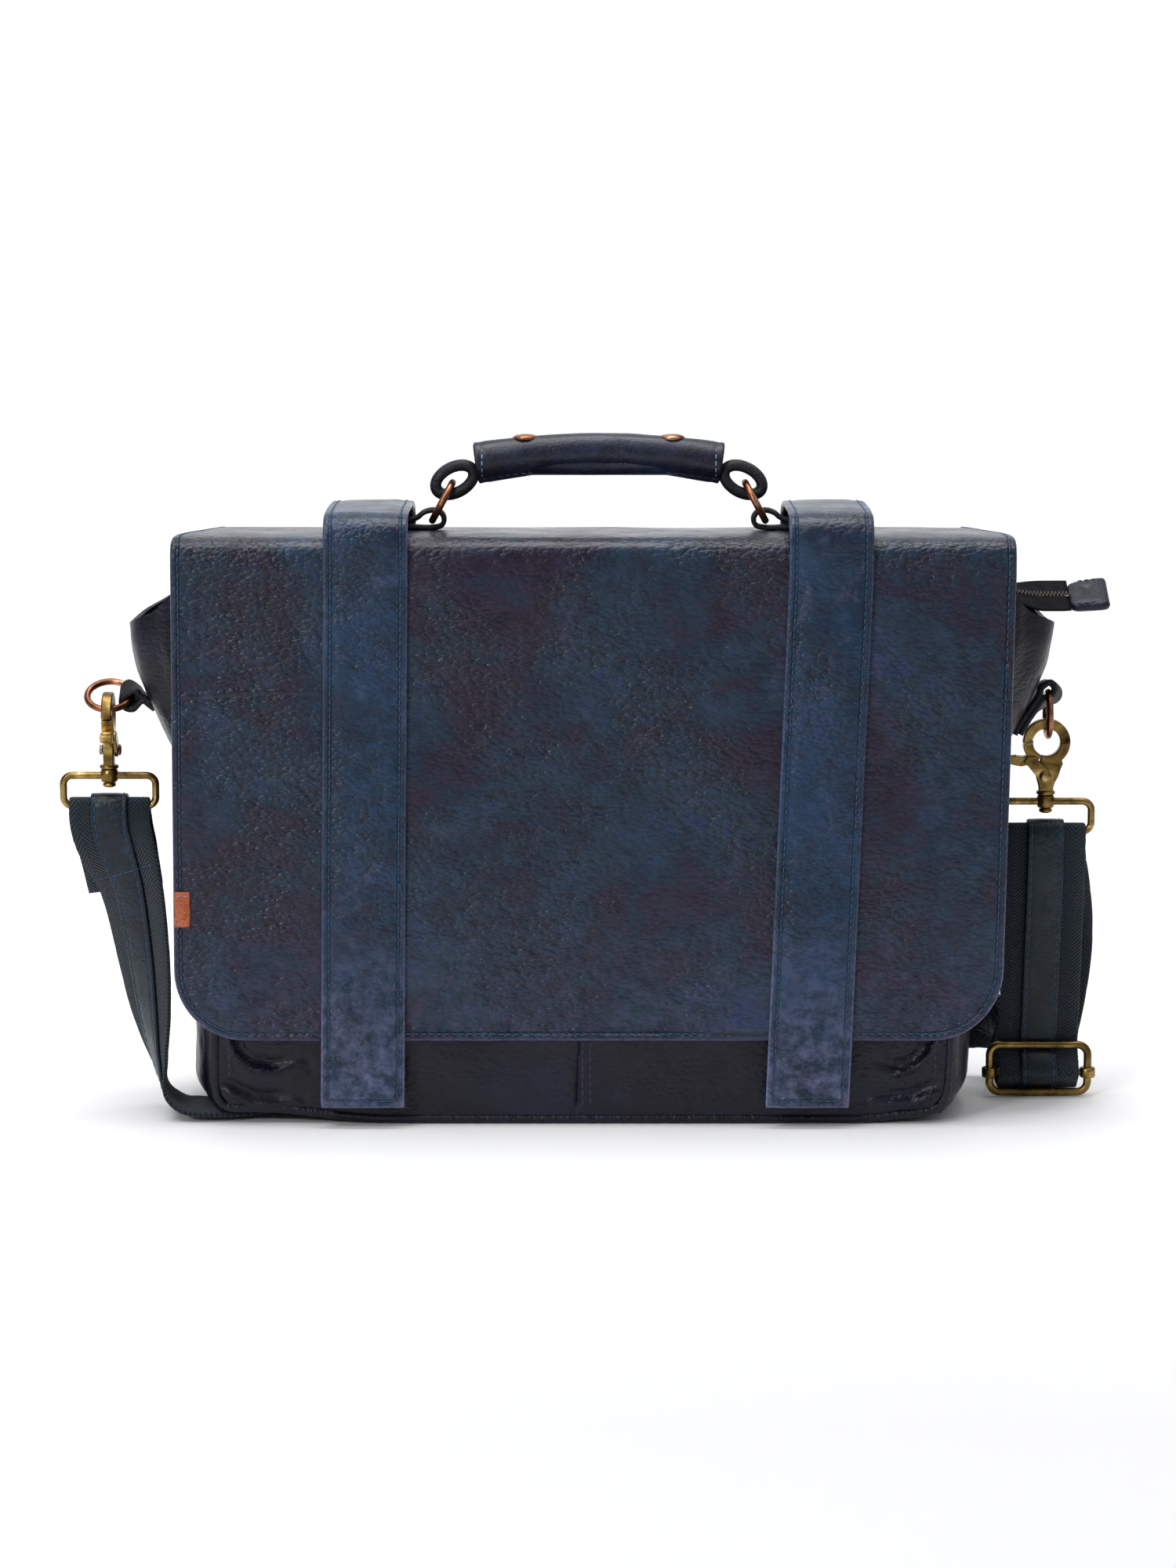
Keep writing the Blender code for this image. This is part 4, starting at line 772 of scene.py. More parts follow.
def strap_route():
    """The strap's middle and width direction, from the sewn left end to the slider's bar, as in the CAD."""
    bar_down = BAR_DROP + LOOP_HEIGHT
    left_bar = (EYES["left"][0], EYES["left"][1], EYES["left"][2] - bar_down)
    right_bar = (EYES["right"][0], EYES["right"][1], EYES["right"][2] - bar_down)

    def round_bar(centre, across, start, end):
        radius = LOOP_WIRE_R + 0.35 + WEB_THICK / 2
        turns = [math.radians(mix(start, end, i / 4)) for i in range(5)]
        return [(centre[0], centre[1] + radius * math.cos(a), centre[2] + radius * math.sin(a), *across)
                for a in turns]

    def turn_back(x, y, start, end):
        turns = [math.radians(mix(start, end, i / 6)) for i in range(7)]
        return [(x + FOLD_R * math.cos(a), y + FOLD_R * math.sin(a)) for a in turns]

    def flat(x, y, z, degrees):
        turn = math.radians(degrees)
        return (x, y, z, math.cos(turn), -math.sin(turn), 0.0)

    def tilted(x, y, z, degrees, facing=1.0):
        turn = math.radians(degrees)
        return (x, y, z, facing * math.cos(turn), 0.0, math.sin(turn))

    route = [flat(-222.4, -3.0, 104.0, 14), flat(-226.0, -3.4, 124.0, 6), flat(-228.4, -4.6, 137.0, 0)]
    route += round_bar(left_bar, (1, 0, 0), 0, 180)
    route += [flat(-228.0, -12.1, 134.0, 4), flat(-218.9, -12.5, 106.0, 32), flat(-213.1, -14.5, 72.0, 45),
              flat(-209.6, -18.0, 48.0, 56), flat(-205.4, -22.0, 26.0, 72), flat(-200.4, -26.0, 11.5, 84),
              flat(-192.6, -28.6, 5.0, 90)]
    for degrees in (0, 30, 60, 90):
        turn = math.radians(degrees)
        route.append(flat(-178.0 + UNDER_TURN_R * math.sin(turn), -5.0 - UNDER_TURN_R * math.cos(turn),
                          STRAP_LAY_Z, 90 - degrees))
    route += [flat(-154.0, 20.0, STRAP_LAY_Z, 0), flat(-155.0, 38.0, STRAP_LAY_Z, 0),
              flat(-156.0, 53.0, 3.6, 0), tilted(-158.0, 67.0, 7.6, 12), tilted(-160.0, 86.0, 13.8, 38),
              tilted(-158.0, 106.0, 19.0, 70)]
    run = [(-148.0, 123.0), (-122.0, 135.5), (-80.0, 139.0), (-30.0, 136.0), (25.0, 138.5), (70.0, 137.5)]
    run += turn_back(82.0, 137.0 - FOLD_R, 90, -90)
    run += [(64.0, 107.5), (20.0, 109.0), (-25.0, 107.0), (-58.0, 107.5)]
    run += turn_back(-70.0, 107.0 - FOLD_R, 90, 270)
    run += [(-54.0, 76.5), (-12.0, 75.5), (35.0, 78.0), (80.0, 78.0), (114.0, 75.0)]
    route += [tilted(x, y, STRAP_EDGE_Z, 90) for x, y in run]
    route += [tilted(136.0, 71.5, 21.5, 90), tilted(156.0, 68.5, 25.5, 90), tilted(173.0, 63.0, 31.0, 90)]
    route += [tilted(189.0, 54.0, 33.0, 80, -1.0), tilted(201.0, 43.0, 26.0, 55, -1.0),
              tilted(209.0, 33.0, 14.0, 28, -1.0), tilted(213.4, 25.0, 5.6, 6, -1.0)]
    x = SLIDER[0]
    route += [(x, y, z, -1.0, 0.0, 0.0) for y, z in (
        (18.6, 3.6), (14.9, 5.0), (11.4, 7.8), (7.9, 9.6), (6.4, 12.0), (7.4, 15.0), (11.0, 19.4),
        (14.6, 23.0), (15.2, 27.0), (14.0, 34.0))]
    route += [(214.6, 9.5, 52.0, -1.0, 0.0, 0.0), (214.8, 3.6, 85.0, -1.0, 0.0, 0.0),
              (214.9, -1.8, 112.0, -1.0, 0.0, 0.0)]
    route += round_bar(right_bar, (-1, 0, 0), 180, 0)
    route += [(x, y, z, -1.0, 0.0, 0.0) for x, y, z in (
        (216.4, 8.0, 116.0), (220.4, 19.0, 96.0), (222.4, 27.0, 74.0), (220.4, 28.0, 52.0),
        (216.4, 24.0, 34.0), (214.6, 19.4, 24.0), (214.5, 15.4, 17.0), (214.5, 13.6, 11.6))]
    return route


def strap_frames(stations):
    """Place, direction, width direction and face normal at each station."""
    frames = []
    places = [Vector(s[:3]) for s in stations]
    for i, station in enumerate(stations):
        along = (places[min(i + 1, len(places) - 1)] - places[max(i - 1, 0)]).normalized()
        across = Vector(station[3:6])
        across = (across - along * across.dot(along)).normalized()
        frames.append((places[i], along, across, along.cross(across)))
    return frames


def strap_ribbon(name, frames, runs, profile, material, ripple=0.0):
    """A closed band whose cross-section is a list of (across, face) offsets; ripple is its edge's."""
    points, faces, uvs = [], [], []
    size = len(profile)
    for i, (spot, _, across, face) in enumerate(frames):
        for a, h in profile:
            tooth = 0.0
            if abs(a) > WEB_WIDTH / 2 - 1.0:
                tooth = ripple * math.sin(runs[i] * 2 * math.pi / 1.9 + a)
            points.append(spot + across * (a + math.copysign(tooth, a)) + face * h)
            uvs.append((a * MM, runs[i] * MM))
    for i in range(len(frames) - 1):
        for k in range(size):
            a, b = i * size + k, i * size + (k + 1) % size
            faces.append((a, b, b + size, a + size))
    faces.append(tuple(range(size))[::-1])
    faces.append(tuple(range((len(frames) - 1) * size, len(frames) * size)))
    return mesh_object(name, points, faces, material, uvs)


def build_strap():
    """Webbing, leather strip, seams and slider; returns the webbing, its other pieces and its middle line."""
    stations = spline(strap_route(), 1.4, 1.8, 2.5)
    frames = strap_frames(stations)
    runs = [0.0]
    for a, b in zip(frames, frames[1:]):
        runs.append(runs[-1] + (b[0] - a[0]).length)
    total = runs[-1]
    half = WEB_THICK / 2
    width = WEB_WIDTH / 2
    top = [(-width, 0.0), (-width + 0.25, 0.62 * half), (-width + 0.8, 0.95 * half)]
    top += [(a, half) for a in (-14.0, -9.0, -4.0, 0.0, 4.0, 9.0, 14.0)]
    top += [(width - 0.8, 0.95 * half), (width - 0.25, 0.62 * half)]
    under = [(-a, -h) for a, h in top]
    profile = (top + under)[::-1]
    webbing = strap_ribbon("webbing_band", frames, runs, profile, webbing_cloth, 0.22)
    place(webbing, "bag", "webbing", ("shoulder_webbing",))

    wide = STRIP_WIDTH / 2
    low, high = half + 0.12, half + 2 * GAP + STRIP_THICK
    kept = [i for i, run in enumerate(runs) if STRIP_FROM <= run <= total - STRIP_SHORT]
    rim = ((0.0, low), (0.0, high - 0.5), (0.4, high - 0.1), (1.4, high), (2.0, high - 0.25), (2.8, high))
    top = [(-wide + a, h) for a, h in rim]
    top += [(-3.0, high + 0.12), (3.0, high + 0.12)]
    top += [(wide - a, h) for a, h in rim[::-1]]
    strip = strap_ribbon("leather_strip", [frames[i] for i in kept], [runs[i] for i in kept], top[::-1],
                         strip_leather)
    place(strip, "bag", "strap_leather", ("shoulder_strip",))
    lines = []
    for a in (-wide + 2.0, wide - 2.0):
        line = [(frames[i][0] + frames[i][2] * a + frames[i][3] * (high - 0.1), frames[i][3]) for i in kept]
        lines += spots_along(line, 4.2, 0.05)
    sewn = min(range(len(frames)), key=lambda i: abs(runs[i] - SEWN_AT))
    spot, _, across, face = frames[sewn]
    cross = [(spot + across * a + face * (half + 0.05 if abs(a) > wide else high), face)
             for a in np.linspace(-width + 3, width - 3, 30)]
    seams = bars("strip_seams", lines + spots_along(cross, 3.4), 3.0, 0.28, blue_thread)
    place(seams, "bag", "strap_leather")

    frame_path = [Vector(SLIDER) + Vector((u, 0, v)) for u, v in rounded_rectangle(*SLIDER_HALF, 5.0, 8)]
    buckle = tube("slider_buckle", frame_path, SLIDER_WIRE_R, brass, 14, True, Y_AXIS)
    place(buckle, "bag", "antique_brass", ("slider_frame",))
    reach = SLIDER_HALF[0] - 1.4
    centre = Vector((SLIDER[0], SLIDER[1], SLIDER_BAR_Z))
    rod_path = [centre + X_AXIS * x for x in np.linspace(-reach, reach, 9)]
    rod = tube("bar_rod", rod_path, 1.55, brass, 14, up=Z_AXIS)
    eye_profile = ((2.45, -2.4), (3.3, -2.4), (3.7, -1.9), (3.7, 1.9), (3.3, 2.4), (2.45, 2.4))
    eyes = [turned("bar_eye", eye_profile, centre + X_AXIS * (sign * SLIDER_HALF[0]), Z_AXIS, brass, 24)
            for sign in (-1, 1)]
    slide = joined("slider_crossbar", [rod, *eyes])
    place(slide, "slider_bar", "antique_brass", ("slider_bar",))
    return webbing, [strip, seams, buckle, slide], [frame[0] for frame in frames]


# ---------------------------------------------------------------- hooks and side rings

def arc(radius, start, end, count):
    """Points on an arc round the origin, start and end in degrees."""
    turns = [math.radians(mix(start, end, i / (count - 1))) for i in range(count)]
    return [(radius * math.cos(a), radius * math.sin(a)) for a in turns]


def build_hooks():
    """Trigger snap hooks: cast body, gate with lever, rivet, spring and swivel loop; returns all pieces."""
    on_cord = []
    for side in SIDES:
        eye = Vector(EYES[side])
        turn = Matrix.Rotation(HOOK_TURN[side], 3, "Z")

        def put(u, w, v):
            return eye + turn @ Vector((u, w, v))

        body = arc(EYE_OUTER, 183.7, -50, 34)
        body += [(8.0, -10.2), (6.9, -12.6), (5.7, -16.5), (4.2, -19.2), (3.5, -21.5), (3.4, -24.6),
                 (-3.4, -24.6), (-3.5, -21.5), (-4.4, -18.0), (-4.9, -15.5), (-4.4, -12.8), (-3.2, -10.6),
                 (-2.8, -6.2)]
        body += arc(EYE_R, -108, 165.5, 30)
        cast = prism("hook_cast", body, -2.5, 2.5, put, brass, 1.7, 5)
        profile = ((1.5, -23.0), (1.7, -24.4), (1.7, -31.6), (3.0, -31.9), (3.2, -32.6), (3.0, -33.4),
                   (1.4, -34.0))
        stem = turned("hook_stem", profile, eye, Z_AXIS, brass)
        profile = ((2.6, -23.0), (4.3, -23.4), (4.6, -24.1), (4.3, -24.9), (2.4, -25.1))
        collar = turned("hook_collar", profile, eye, Z_AXIS, brass)
        for part in (cast, stem, collar):
            apply_modifiers(part)
        cast = joined("hook_" + side, [cast, stem, collar])
        place(cast, "hook_" + side, "antique_brass", ("hook_body_" + side,))

        gate = arc(EYE_OUTER, 186, 214, 10)
        gate += [(-11.4, -6.7), (-13.0, -6.4), (-15.4, -6.3), (-17.4, -6.9), (-18.2, -8.6), (-17.0, -10.4),
                 (-14.4, -11.0), (-12.0, -11.4), (-8.6, -10.6), (-5.6, -10.2), (-3.9, -8.4)]
        gate += arc(EYE_R, 246, 169.6, 12)
        tongue = prism("gate_tongue", gate, -3.4, 2.4, put, brass, 1.1, 4)
        cheek = [(-2.6, -18.8), (-0.9, -19.3), (0.6, -18.8), (1.8, -17.7), (2.2, -16.2), (1.4, -13.6),
                 (-3.6, -8.6), (-5.8, -6.4), (-9.4, -6.6), (-11.0, -9.4), (-9.0, -11.0), (-4.4, -16.6)]
        plate = prism("gate_cheek", cheek, -4.6, -2.8, put, brass, 0.4, 3)
        ridges = []
        for i in range(4):
            spot = put(-14.6 - i * 0.9, -0.8, -6.2 - 0.12 * i)
            ridges.append((spot, (turn @ Y_AXIS).normalized(), Z_AXIS.copy()))
        grips = bars("gate_grips", ridges, 5.6, 0.32, brass)
        for part in (tongue, plate):
            apply_modifiers(part)
        lever = joined("hook_lever_" + side, [tongue, plate, grips])
        place(lever, "hook_gate_" + side, "antique_brass", ("hook_gate_" + side,))

        pin = put(PIN[0], 0, PIN[1])
        axis = turn @ Y_AXIS
        profile = ((0.9, -6.1), (1.9, -5.9), (2.5, -5.5), (2.7, -4.95), (1.2, -4.8), (1.2, 4.2), (1.9, 4.3))
        rivet = turned("hook_rivet_" + side, profile, pin, axis, brass)
        place(rivet, "hook_" + side, "steel", ("hook_pin_" + side,))
        coil = []
        for i in range(40):
            a = 2 * math.pi * i / 13
            coil.append(pin + turn @ Vector((2.0 * math.cos(a), 3.0 + 0.03 * i, 2.0 * math.sin(a))))
        spring = tube("hook_coil_" + side, coil, 0.4, steel, 6, False, axis)
        place(spring, "hook_" + side, "steel", ("hook_spring_" + side,))

        middle = eye + Vector((0, 0, -BAR_DROP - LOOP_HEIGHT / 2))
        outline = rounded_rectangle(LOOP_HALF, LOOP_HEIGHT / 2, 4.2, 8)
        path = [middle + Vector((u, 0, v)) for u, v in outline]
        wire = tube("loop_wire", path, LOOP_WIRE_R, brass, 12, True, Y_AXIS)
        profile = ((2.3, -31.2), (3.6, -31.3), (4.1, -30.6), (4.2, -28.2), (4.1, -26.0), (3.6, -25.3),
                   (2.3, -25.2))
        boss = turned("loop_boss", profile, eye, Z_AXIS, brass)
        loop = joined("swivel_loop_" + side, [wire, boss])
        place(loop, "bag", "antique_brass", ("hook_loop_" + side,))
        on_cord += [cast, lever, rivet, spring, loop]
    return on_cord


def apply_modifiers(obj):
    """Leaves the shape of the modifiers in the mesh and removes them."""
    depsgraph = bpy.context.evaluated_depsgraph_get()
    mesh = bpy.data.meshes.new_from_object(obj.evaluated_get(depsgraph))
    obj.modifiers.clear()
    obj.data = mesh
    return obj


def build_side_rings():
    """Copper rings and the leather tabs that hold them on the gussets."""
    tilted = Vector((0, math.cos(LEFT_RING_TILT), math.sin(LEFT_RING_TILT)))
    for side, centre, first, second in (("left", LEFT_RING, X_AXIS, tilted),
                                        ("right", RIGHT_RING, Z_AXIS, Y_AXIS)):
        path = circle(centre, first, second, SIDE_RING_R, 56)
        ring = tube("side_loop_" + side, path, SIDE_WIRE_R, copper, 14, True, first.cross(second))
        place(ring, "side_ring_" + side, "copper", ("side_ring_" + side,))

    for side in SIDES:
        sign = SIGN[side]
        hole_x, hole_z = SIDE_TAB_HOLES[side]
        flange = ((190.0, -2.0, -0.6), (192.0, -0.8, 1.0), (194.0, 0.8, 3.0))
        turns, size = (170, 130, 95, 62, 32, 2, -28, -62, -100), (4.4, 3.6)
        width_at_ring = Vector((0.0, math.cos(LEFT_RING_TILT), math.sin(LEFT_RING_TILT)))
        if side == "right":
            flange = ((178.0, 1.0, 3.6), (184.0, 1.2, 3.9), (189.0, 2.0, 5.4))
            turns, size = (190, 160, 130, 95, 62, 32, 2, -28, -62, -95), (4.2, 4.0)
            width_at_ring = Vector((0.35, 0.88, -0.32)).normalized()

        def wall(z, off):
            return Vector((gusset_point(sign, z, math.pi / 2).x + sign * off, 0, z))

        path = [wall(z, near) for z, near, far in flange]
        for angle in turns:
            a = math.radians(angle)
            path.append(Vector((hole_x + sign * size[0] * math.cos(a), 0, hole_z + size[1] * math.sin(a))))
        path += [wall(z, far) for z, near, far in reversed(flange)]
        path = curve(path, 1.0)
        reach = [smooth((abs(p.x - wall(p.z, 0.0).x) - 3.0) / 6.0) for p in path]
        widths = [Y_AXIS.lerp(width_at_ring, share).normalized() for share in reach]
        tab = band("ring_tab_" + side, path, widths, 12.5, 3.0, loop_leather, 0.2)
        place(tab, "bag", "loop_leather", ("side_tab_" + side,))


# ---------------------------------------------------------------- body

def body_middle(z):
    """x of the body's middle at a height; the bottom sits further left than the top."""
    return BODY_SHIFT * (1.0 - z / PANEL_TOP)


def panel_half(z):
    """Half width of the front and back panels."""
    return mix(PANEL_HALF_LOW, PANEL_HALF_HIGH, z / PANEL_TOP)


def body_depth(z):
    """Distance of the front and back panels from the middle plane."""
    share = z / PANEL_TOP
    return mix(DEPTH_LOW, DEPTH_HIGH, share * share) + DEPTH_BELLY * share * (1.0 - share)


def foot(x):
    """How far the bottom lifts off the floor near its ends."""
    left = smooth((-x - 95.0) / 62.0)
    right = smooth((x - 120.0) / 50.0)
    return FOOT_RISE * max(left, 0.8 * right)


def corner_cut(z):
    """Rounding of the lower corners; z is measured from a level 5 mm under the shell's first row."""
    return 4.6 * max(0.0, 1.0 - (z - 5.0) / 10.0) ** 2


def gusset_point(sign, z, angle):
    """A point of a side gusset, from its front seam (angle 0) to its back seam (pi)."""
    bulge = GUSSET_BULGE + GUSSET_EAR * smooth((z - 135.0) / 95.0)
    depth = body_depth(z) - 4.0
    x = panel_half(z) + bulge * math.sin(angle)
    y = -depth * math.cos(angle)
    return Vector((sign * x + body_middle(z), y, z))


# middle lines of the folds in the lower corners of a panel, (x, z)
CREASES = (((-171.0, 43.0), (-167.5, 33.0), (-160.5, 27.0), (-150.0, 25.0), (-138.0, 27.0)),
           ((161.0, 44.0), (157.0, 34.0), (151.0, 27.0), (142.0, 24.0), (132.0, 25.0)),
           ((-172.0, 16.0), (-160.0, 10.5), (-140.0, 9.0)), ((160.0, 15.0), (150.0, 10.5), (132.0, 9.5)),
           ((-163.0, 60.0), (-158.0, 48.0), (-149.0, 41.0)), ((152.0, 58.0), (146.0, 47.0), (138.0, 42.0)))


def crease_relief(x, z):
    """Short curved folds: a ridge with a hollow on its inner side."""
    total = 0.0
    for crease in CREASES:
        best = (1e9, 0.0)
        for (ax, az), (bx, bz) in zip(crease, crease[1:]):
            dx, dz = bx - ax, bz - az
            share = min(1.0, max(0.0, ((x - ax) * dx + (z - az) * dz) / (dx * dx + dz * dz)))
            ox, oz = x - ax - dx * share, z - az - dz * share
            away = math.hypot(ox, oz)
            if away < best[0]:
                inner = (crease[-1][0] - crease[0][0]) * ox + abs(crease[-1][1] - crease[0][1] - 40.0) * oz
                best = (away, math.copysign(1.0, inner))
        away, inner = best
        if away < 12.0:
            fade = smooth((abs(crease[-1][0] - x) + abs(crease[-1][1] - z)) / 14.0)
            total += fade * (2.4 * math.exp(-(away / 1.5) ** 2)
                             - 2.0 * math.exp(-((away * inner - 4.0) / 2.6) ** 2))
    return total


def panel_relief(x, z, side):
    """How far the soft panels stand out or sink, in millimetres."""
    swell = 1.5 * wander(x / 55.0, z / 34.0, 3.0 * side) + 0.6 * wander(x / 17.0, z / 15.0, 7.0 * side)
    ends = smooth((abs(x - BODY_SHIFT) - 128.0) / 36.0) * smooth((70.0 - z) / 50.0)
    if z < 75.0:
        creased = crease_relief(x if side < 0 else BODY_SHIFT * 2 - x, z)
        swell += creased + 0.6 * ends * wander(x / 9.0, z / 22.0, side)
    if side < 0:
        ridge = 1.3 * math.exp(-((x - SEAM_X - 1.8) / 1.5) ** 2)
        swell += ridge - 1.5 * math.exp(-((x - SEAM_X + 1.0) / 1.1) ** 2)
    return swell


def edge_hold(x, z):
    """The seams at the sides and the bottom hold the panel's relief down."""
    return smooth((panel_half(z) - PANEL_GAP - abs(x - body_middle(z))) / 7.0) * smooth((z - 6.0) / 5.0)


def gusset_relief(sign, z, angle):
    """Ripples and the two pleats of a gusset, calm round the ring tab."""
    share = math.sin(angle)
    calm = 1.0 - 0.85 * smooth((z - 165.0) / 12.0) * smooth((214.0 - z) / 14.0)
    ripples = 1.9 * wander(z / 24.0, angle * 1.9, sign * 4.0) * share * calm
    pleat = 0.0
    for middle in (0.72, 2.36):
        pleat -= 3.6 * share * math.exp(-((angle - middle - 0.1 * math.sin(z / 31.0)) / 0.22) ** 2)
    return ripples + pleat * smooth((z - 40.0) / 60.0) + 0.4 * wander(z / 9.0, angle * 5.0, sign)


def shell_columns():
    """Stations round the body: (kind, value). Panels run by share of their width, side walls by angle."""
    ring = [("front", s) for s in np.linspace(0.0, 1.0, PANEL_COLUMNS)]
    ring += [("right", math.pi * s) for s in np.linspace(0.0, 1.0, WALL_COLUMNS)[1:-1]]
    ring += [("back", 1.0 - s) for s in np.linspace(0.0, 1.0, PANEL_COLUMNS)]
    ring += [("left", math.pi * (1.0 - s)) for s in np.linspace(0.0, 1.0, WALL_COLUMNS)[1:-1]]
    return ring


def shell_point(kind, value, share):
    """A point of the leather shell's outer face; share runs from the ground line to the top edge."""
    if kind in ("front", "back"):
        side = -1 if kind == "front" else 1
        rough_x = mix(-PANEL_HALF_LOW, PANEL_HALF_LOW, value) + BODY_SHIFT
        low = foot(rough_x) + 5.0
        z = mix(low, PANEL_TOP, share)
        reach = panel_half(z) - PANEL_GAP - corner_cut(z - low + 5.0)
        x = mix(-reach, reach, value) + body_middle(z)
        return Vector((x, side * (body_depth(z) + panel_relief(x, z, side) * edge_hold(x, z)), z))
    sign = SIGN[kind]
    angle = value
    low = foot(sign * (PANEL_HALF_LOW + 5) + BODY_SHIFT) + 5.0
    top = PANEL_TOP - 2.0 - GUSSET_DIP * math.sin(angle)
    z = mix(low, top, share)
    relief = gusset_relief(sign, z, angle) * smooth(share * 6.0)
    point = gusset_point(sign, z, angle)
    point.x += sign * (relief - corner_cut(z - low + 5.0) * 0.9)
    return point


def build_shell():
    """Panels, gussets and base as one leather shell, open at the top."""
    ring = shell_columns()
    shares = [0.0, 0.006, 0.014, *np.linspace(0.02, 0.24, 40), *np.linspace(0.25, 0.97, 50),
              0.985, 0.993, 0.998, 1.0]
    bottom = []
    for step in (1.0, 0.85, 0.6, 0.3):
        row = []
        for kind, value in ring:
            wall = shell_point(kind, value, 0.0)
            x = min(max(wall.x, BODY_SHIFT - 169.0), BODY_SHIFT + 169.0)
            base = Vector((x, min(max(wall.y, -45.5), 45.5), foot(x) + 0.2))
            angle = step * math.pi / 2
            row.append(Vector((mix(base.x, wall.x, math.cos(angle)), mix(base.y, wall.y, math.cos(angle)),
                               mix(wall.z, base.z, math.sin(angle)))))
        bottom.append(row)
    walls = [[shell_point(kind, value, share) for kind, value in ring] for share in shares]
    rows = bottom + walls
    count = len(ring)
    points = [p for row in rows for p in row]
    perimeter = np.concatenate([[0.0], np.cumsum([(walls[30][(i + 1) % count] - walls[30][i]).length
                                                  for i in range(count)])])
    uvs = [(perimeter[i] * MM, row[i].z * MM) for row in rows for i in range(count)]
    faces = []
    for r in range(len(rows) - 1):
        for i in range(count):
            j = (i + 1) % count
            faces.append((r * count + i, r * count + j, (r + 1) * count + j, (r + 1) * count + i))
    across, deep = PANEL_COLUMNS, WALL_COLUMNS
    grid = {}
    for i in range(across):
        for k in range(deep):
            if k == 0:
                grid[i, k] = i
            elif k == deep - 1:
                grid[i, k] = across + (deep - 2) + (across - 1 - i)
            elif i == across - 1:
                grid[i, k] = across + (k - 1)
            elif i == 0:
                grid[i, k] = 2 * across + (deep - 2) + (deep - 2 - k)
            else:
                front, back = points[i], points[across + (deep - 2) + (across - 1 - i)]
                share = k / (deep - 1)
                spot = front.lerp(back, 0.5 - 0.5 * math.cos(math.pi * share))
                spot.z = foot(spot.x) + 0.2
                grid[i, k] = len(points)
                points.append(spot)
                uvs.append((spot.x * MM, spot.y * MM))
    for i in range(across - 1):
        for k in range(deep - 1):
            faces.append((grid[i, k], grid[i, k + 1], grid[i + 1, k + 1], grid[i + 1, k]))
    shell = mesh_object("leather_shell", points, faces, body_leather, uvs)
    thick = shell.modifiers.new("thickness", "SOLIDIFY")
    thick.thickness = LEATHER * MM
    thick.offset = -1.0
    apply_modifiers(shell)
    rim = shell.modifiers.new("rim", "BEVEL")
    rim.width = 0.9 * MM
    rim.segments = 3
    rim.limit_method = "ANGLE"
    rim.angle_limit = math.radians(50)
    apply_modifiers(shell)
    place(shell, "bag", "body_leather", ("front_panel_left", "front_panel_right", "back_panel", "gusset_left",
                                         "gusset_right", "base_panel"))


def build_piping():
    for name, side in (("piping_front", -1), ("piping_back", 1)):
        legs = []
        for sign in (-1, 1):
            leg = []
            for i in range(10):
                z = mix(PANEL_TOP - 1.0, 16.0, i / 9)
                leg.append(Vector((sign * panel_half(z) + body_middle(z), side * (body_depth(z) - 1), z)))
            for share in (0.35, 0.7, 1.0):
                x = sign * (panel_half(0) - 9.0 * share ** 2) + BODY_SHIFT
                z = mix(16.0, foot(x) + PIPING_R + 0.1, math.sin(share * math.pi / 2))
                leg.append(Vector((x, side * (DEPTH_LOW - 1), z)))
            legs.append(leg)
        middle = [Vector((x, side * (DEPTH_LOW - 1), foot(x) + PIPING_R + 0.1))
                  for x in np.linspace(legs[0][-1].x, legs[1][-1].x, 30)[1:-1]]
        path = curve(legs[0] + middle + legs[1][::-1], 3.0)
        for i, point in enumerate(path):
            point.x += 0.3 * wander(point.z / 14.0, i * 0.02, side)
            point.z = max(point.z, PIPING_R + 0.05)
        cord = tube(name + "_cord", path, lambda s: PIPING_R * (1.0 + 0.03 * math.sin(s * 700)),
                    body_leather, 12)
        place(cord, "bag", "body_leather", (name,))


def build_panel_seams():
    """Stitches beside the middle seam and along both edges of the front."""
    seam = []
    for off in (2.0, 5.6):
        line = []
        x = SEAM_X + off
        for z in np.linspace(9.0, 250.0, 120):
            line.append((Vector((x, -(body_depth(z) + panel_relief(x, z, -1) + 0.1), z)), -Y_AXIS))
        seam += spots_along(line, 4.0)
    for sign in (-1, 1):
        line = []
        for z in np.linspace(22.0, 250.0, 110):
            x = sign * (panel_half(z) - 6.5) + body_middle(z)
            y = -(body_depth(z) + panel_relief(x, z, -1) * edge_hold(x, z) + 0.1)
            line.append((Vector((x, y, z)), -Y_AXIS))
        seam += spots_along(line, 4.0)
    place(bars("panel_seams", seam, 2.7, 0.28, dark_thread), "bag", "body_leather")


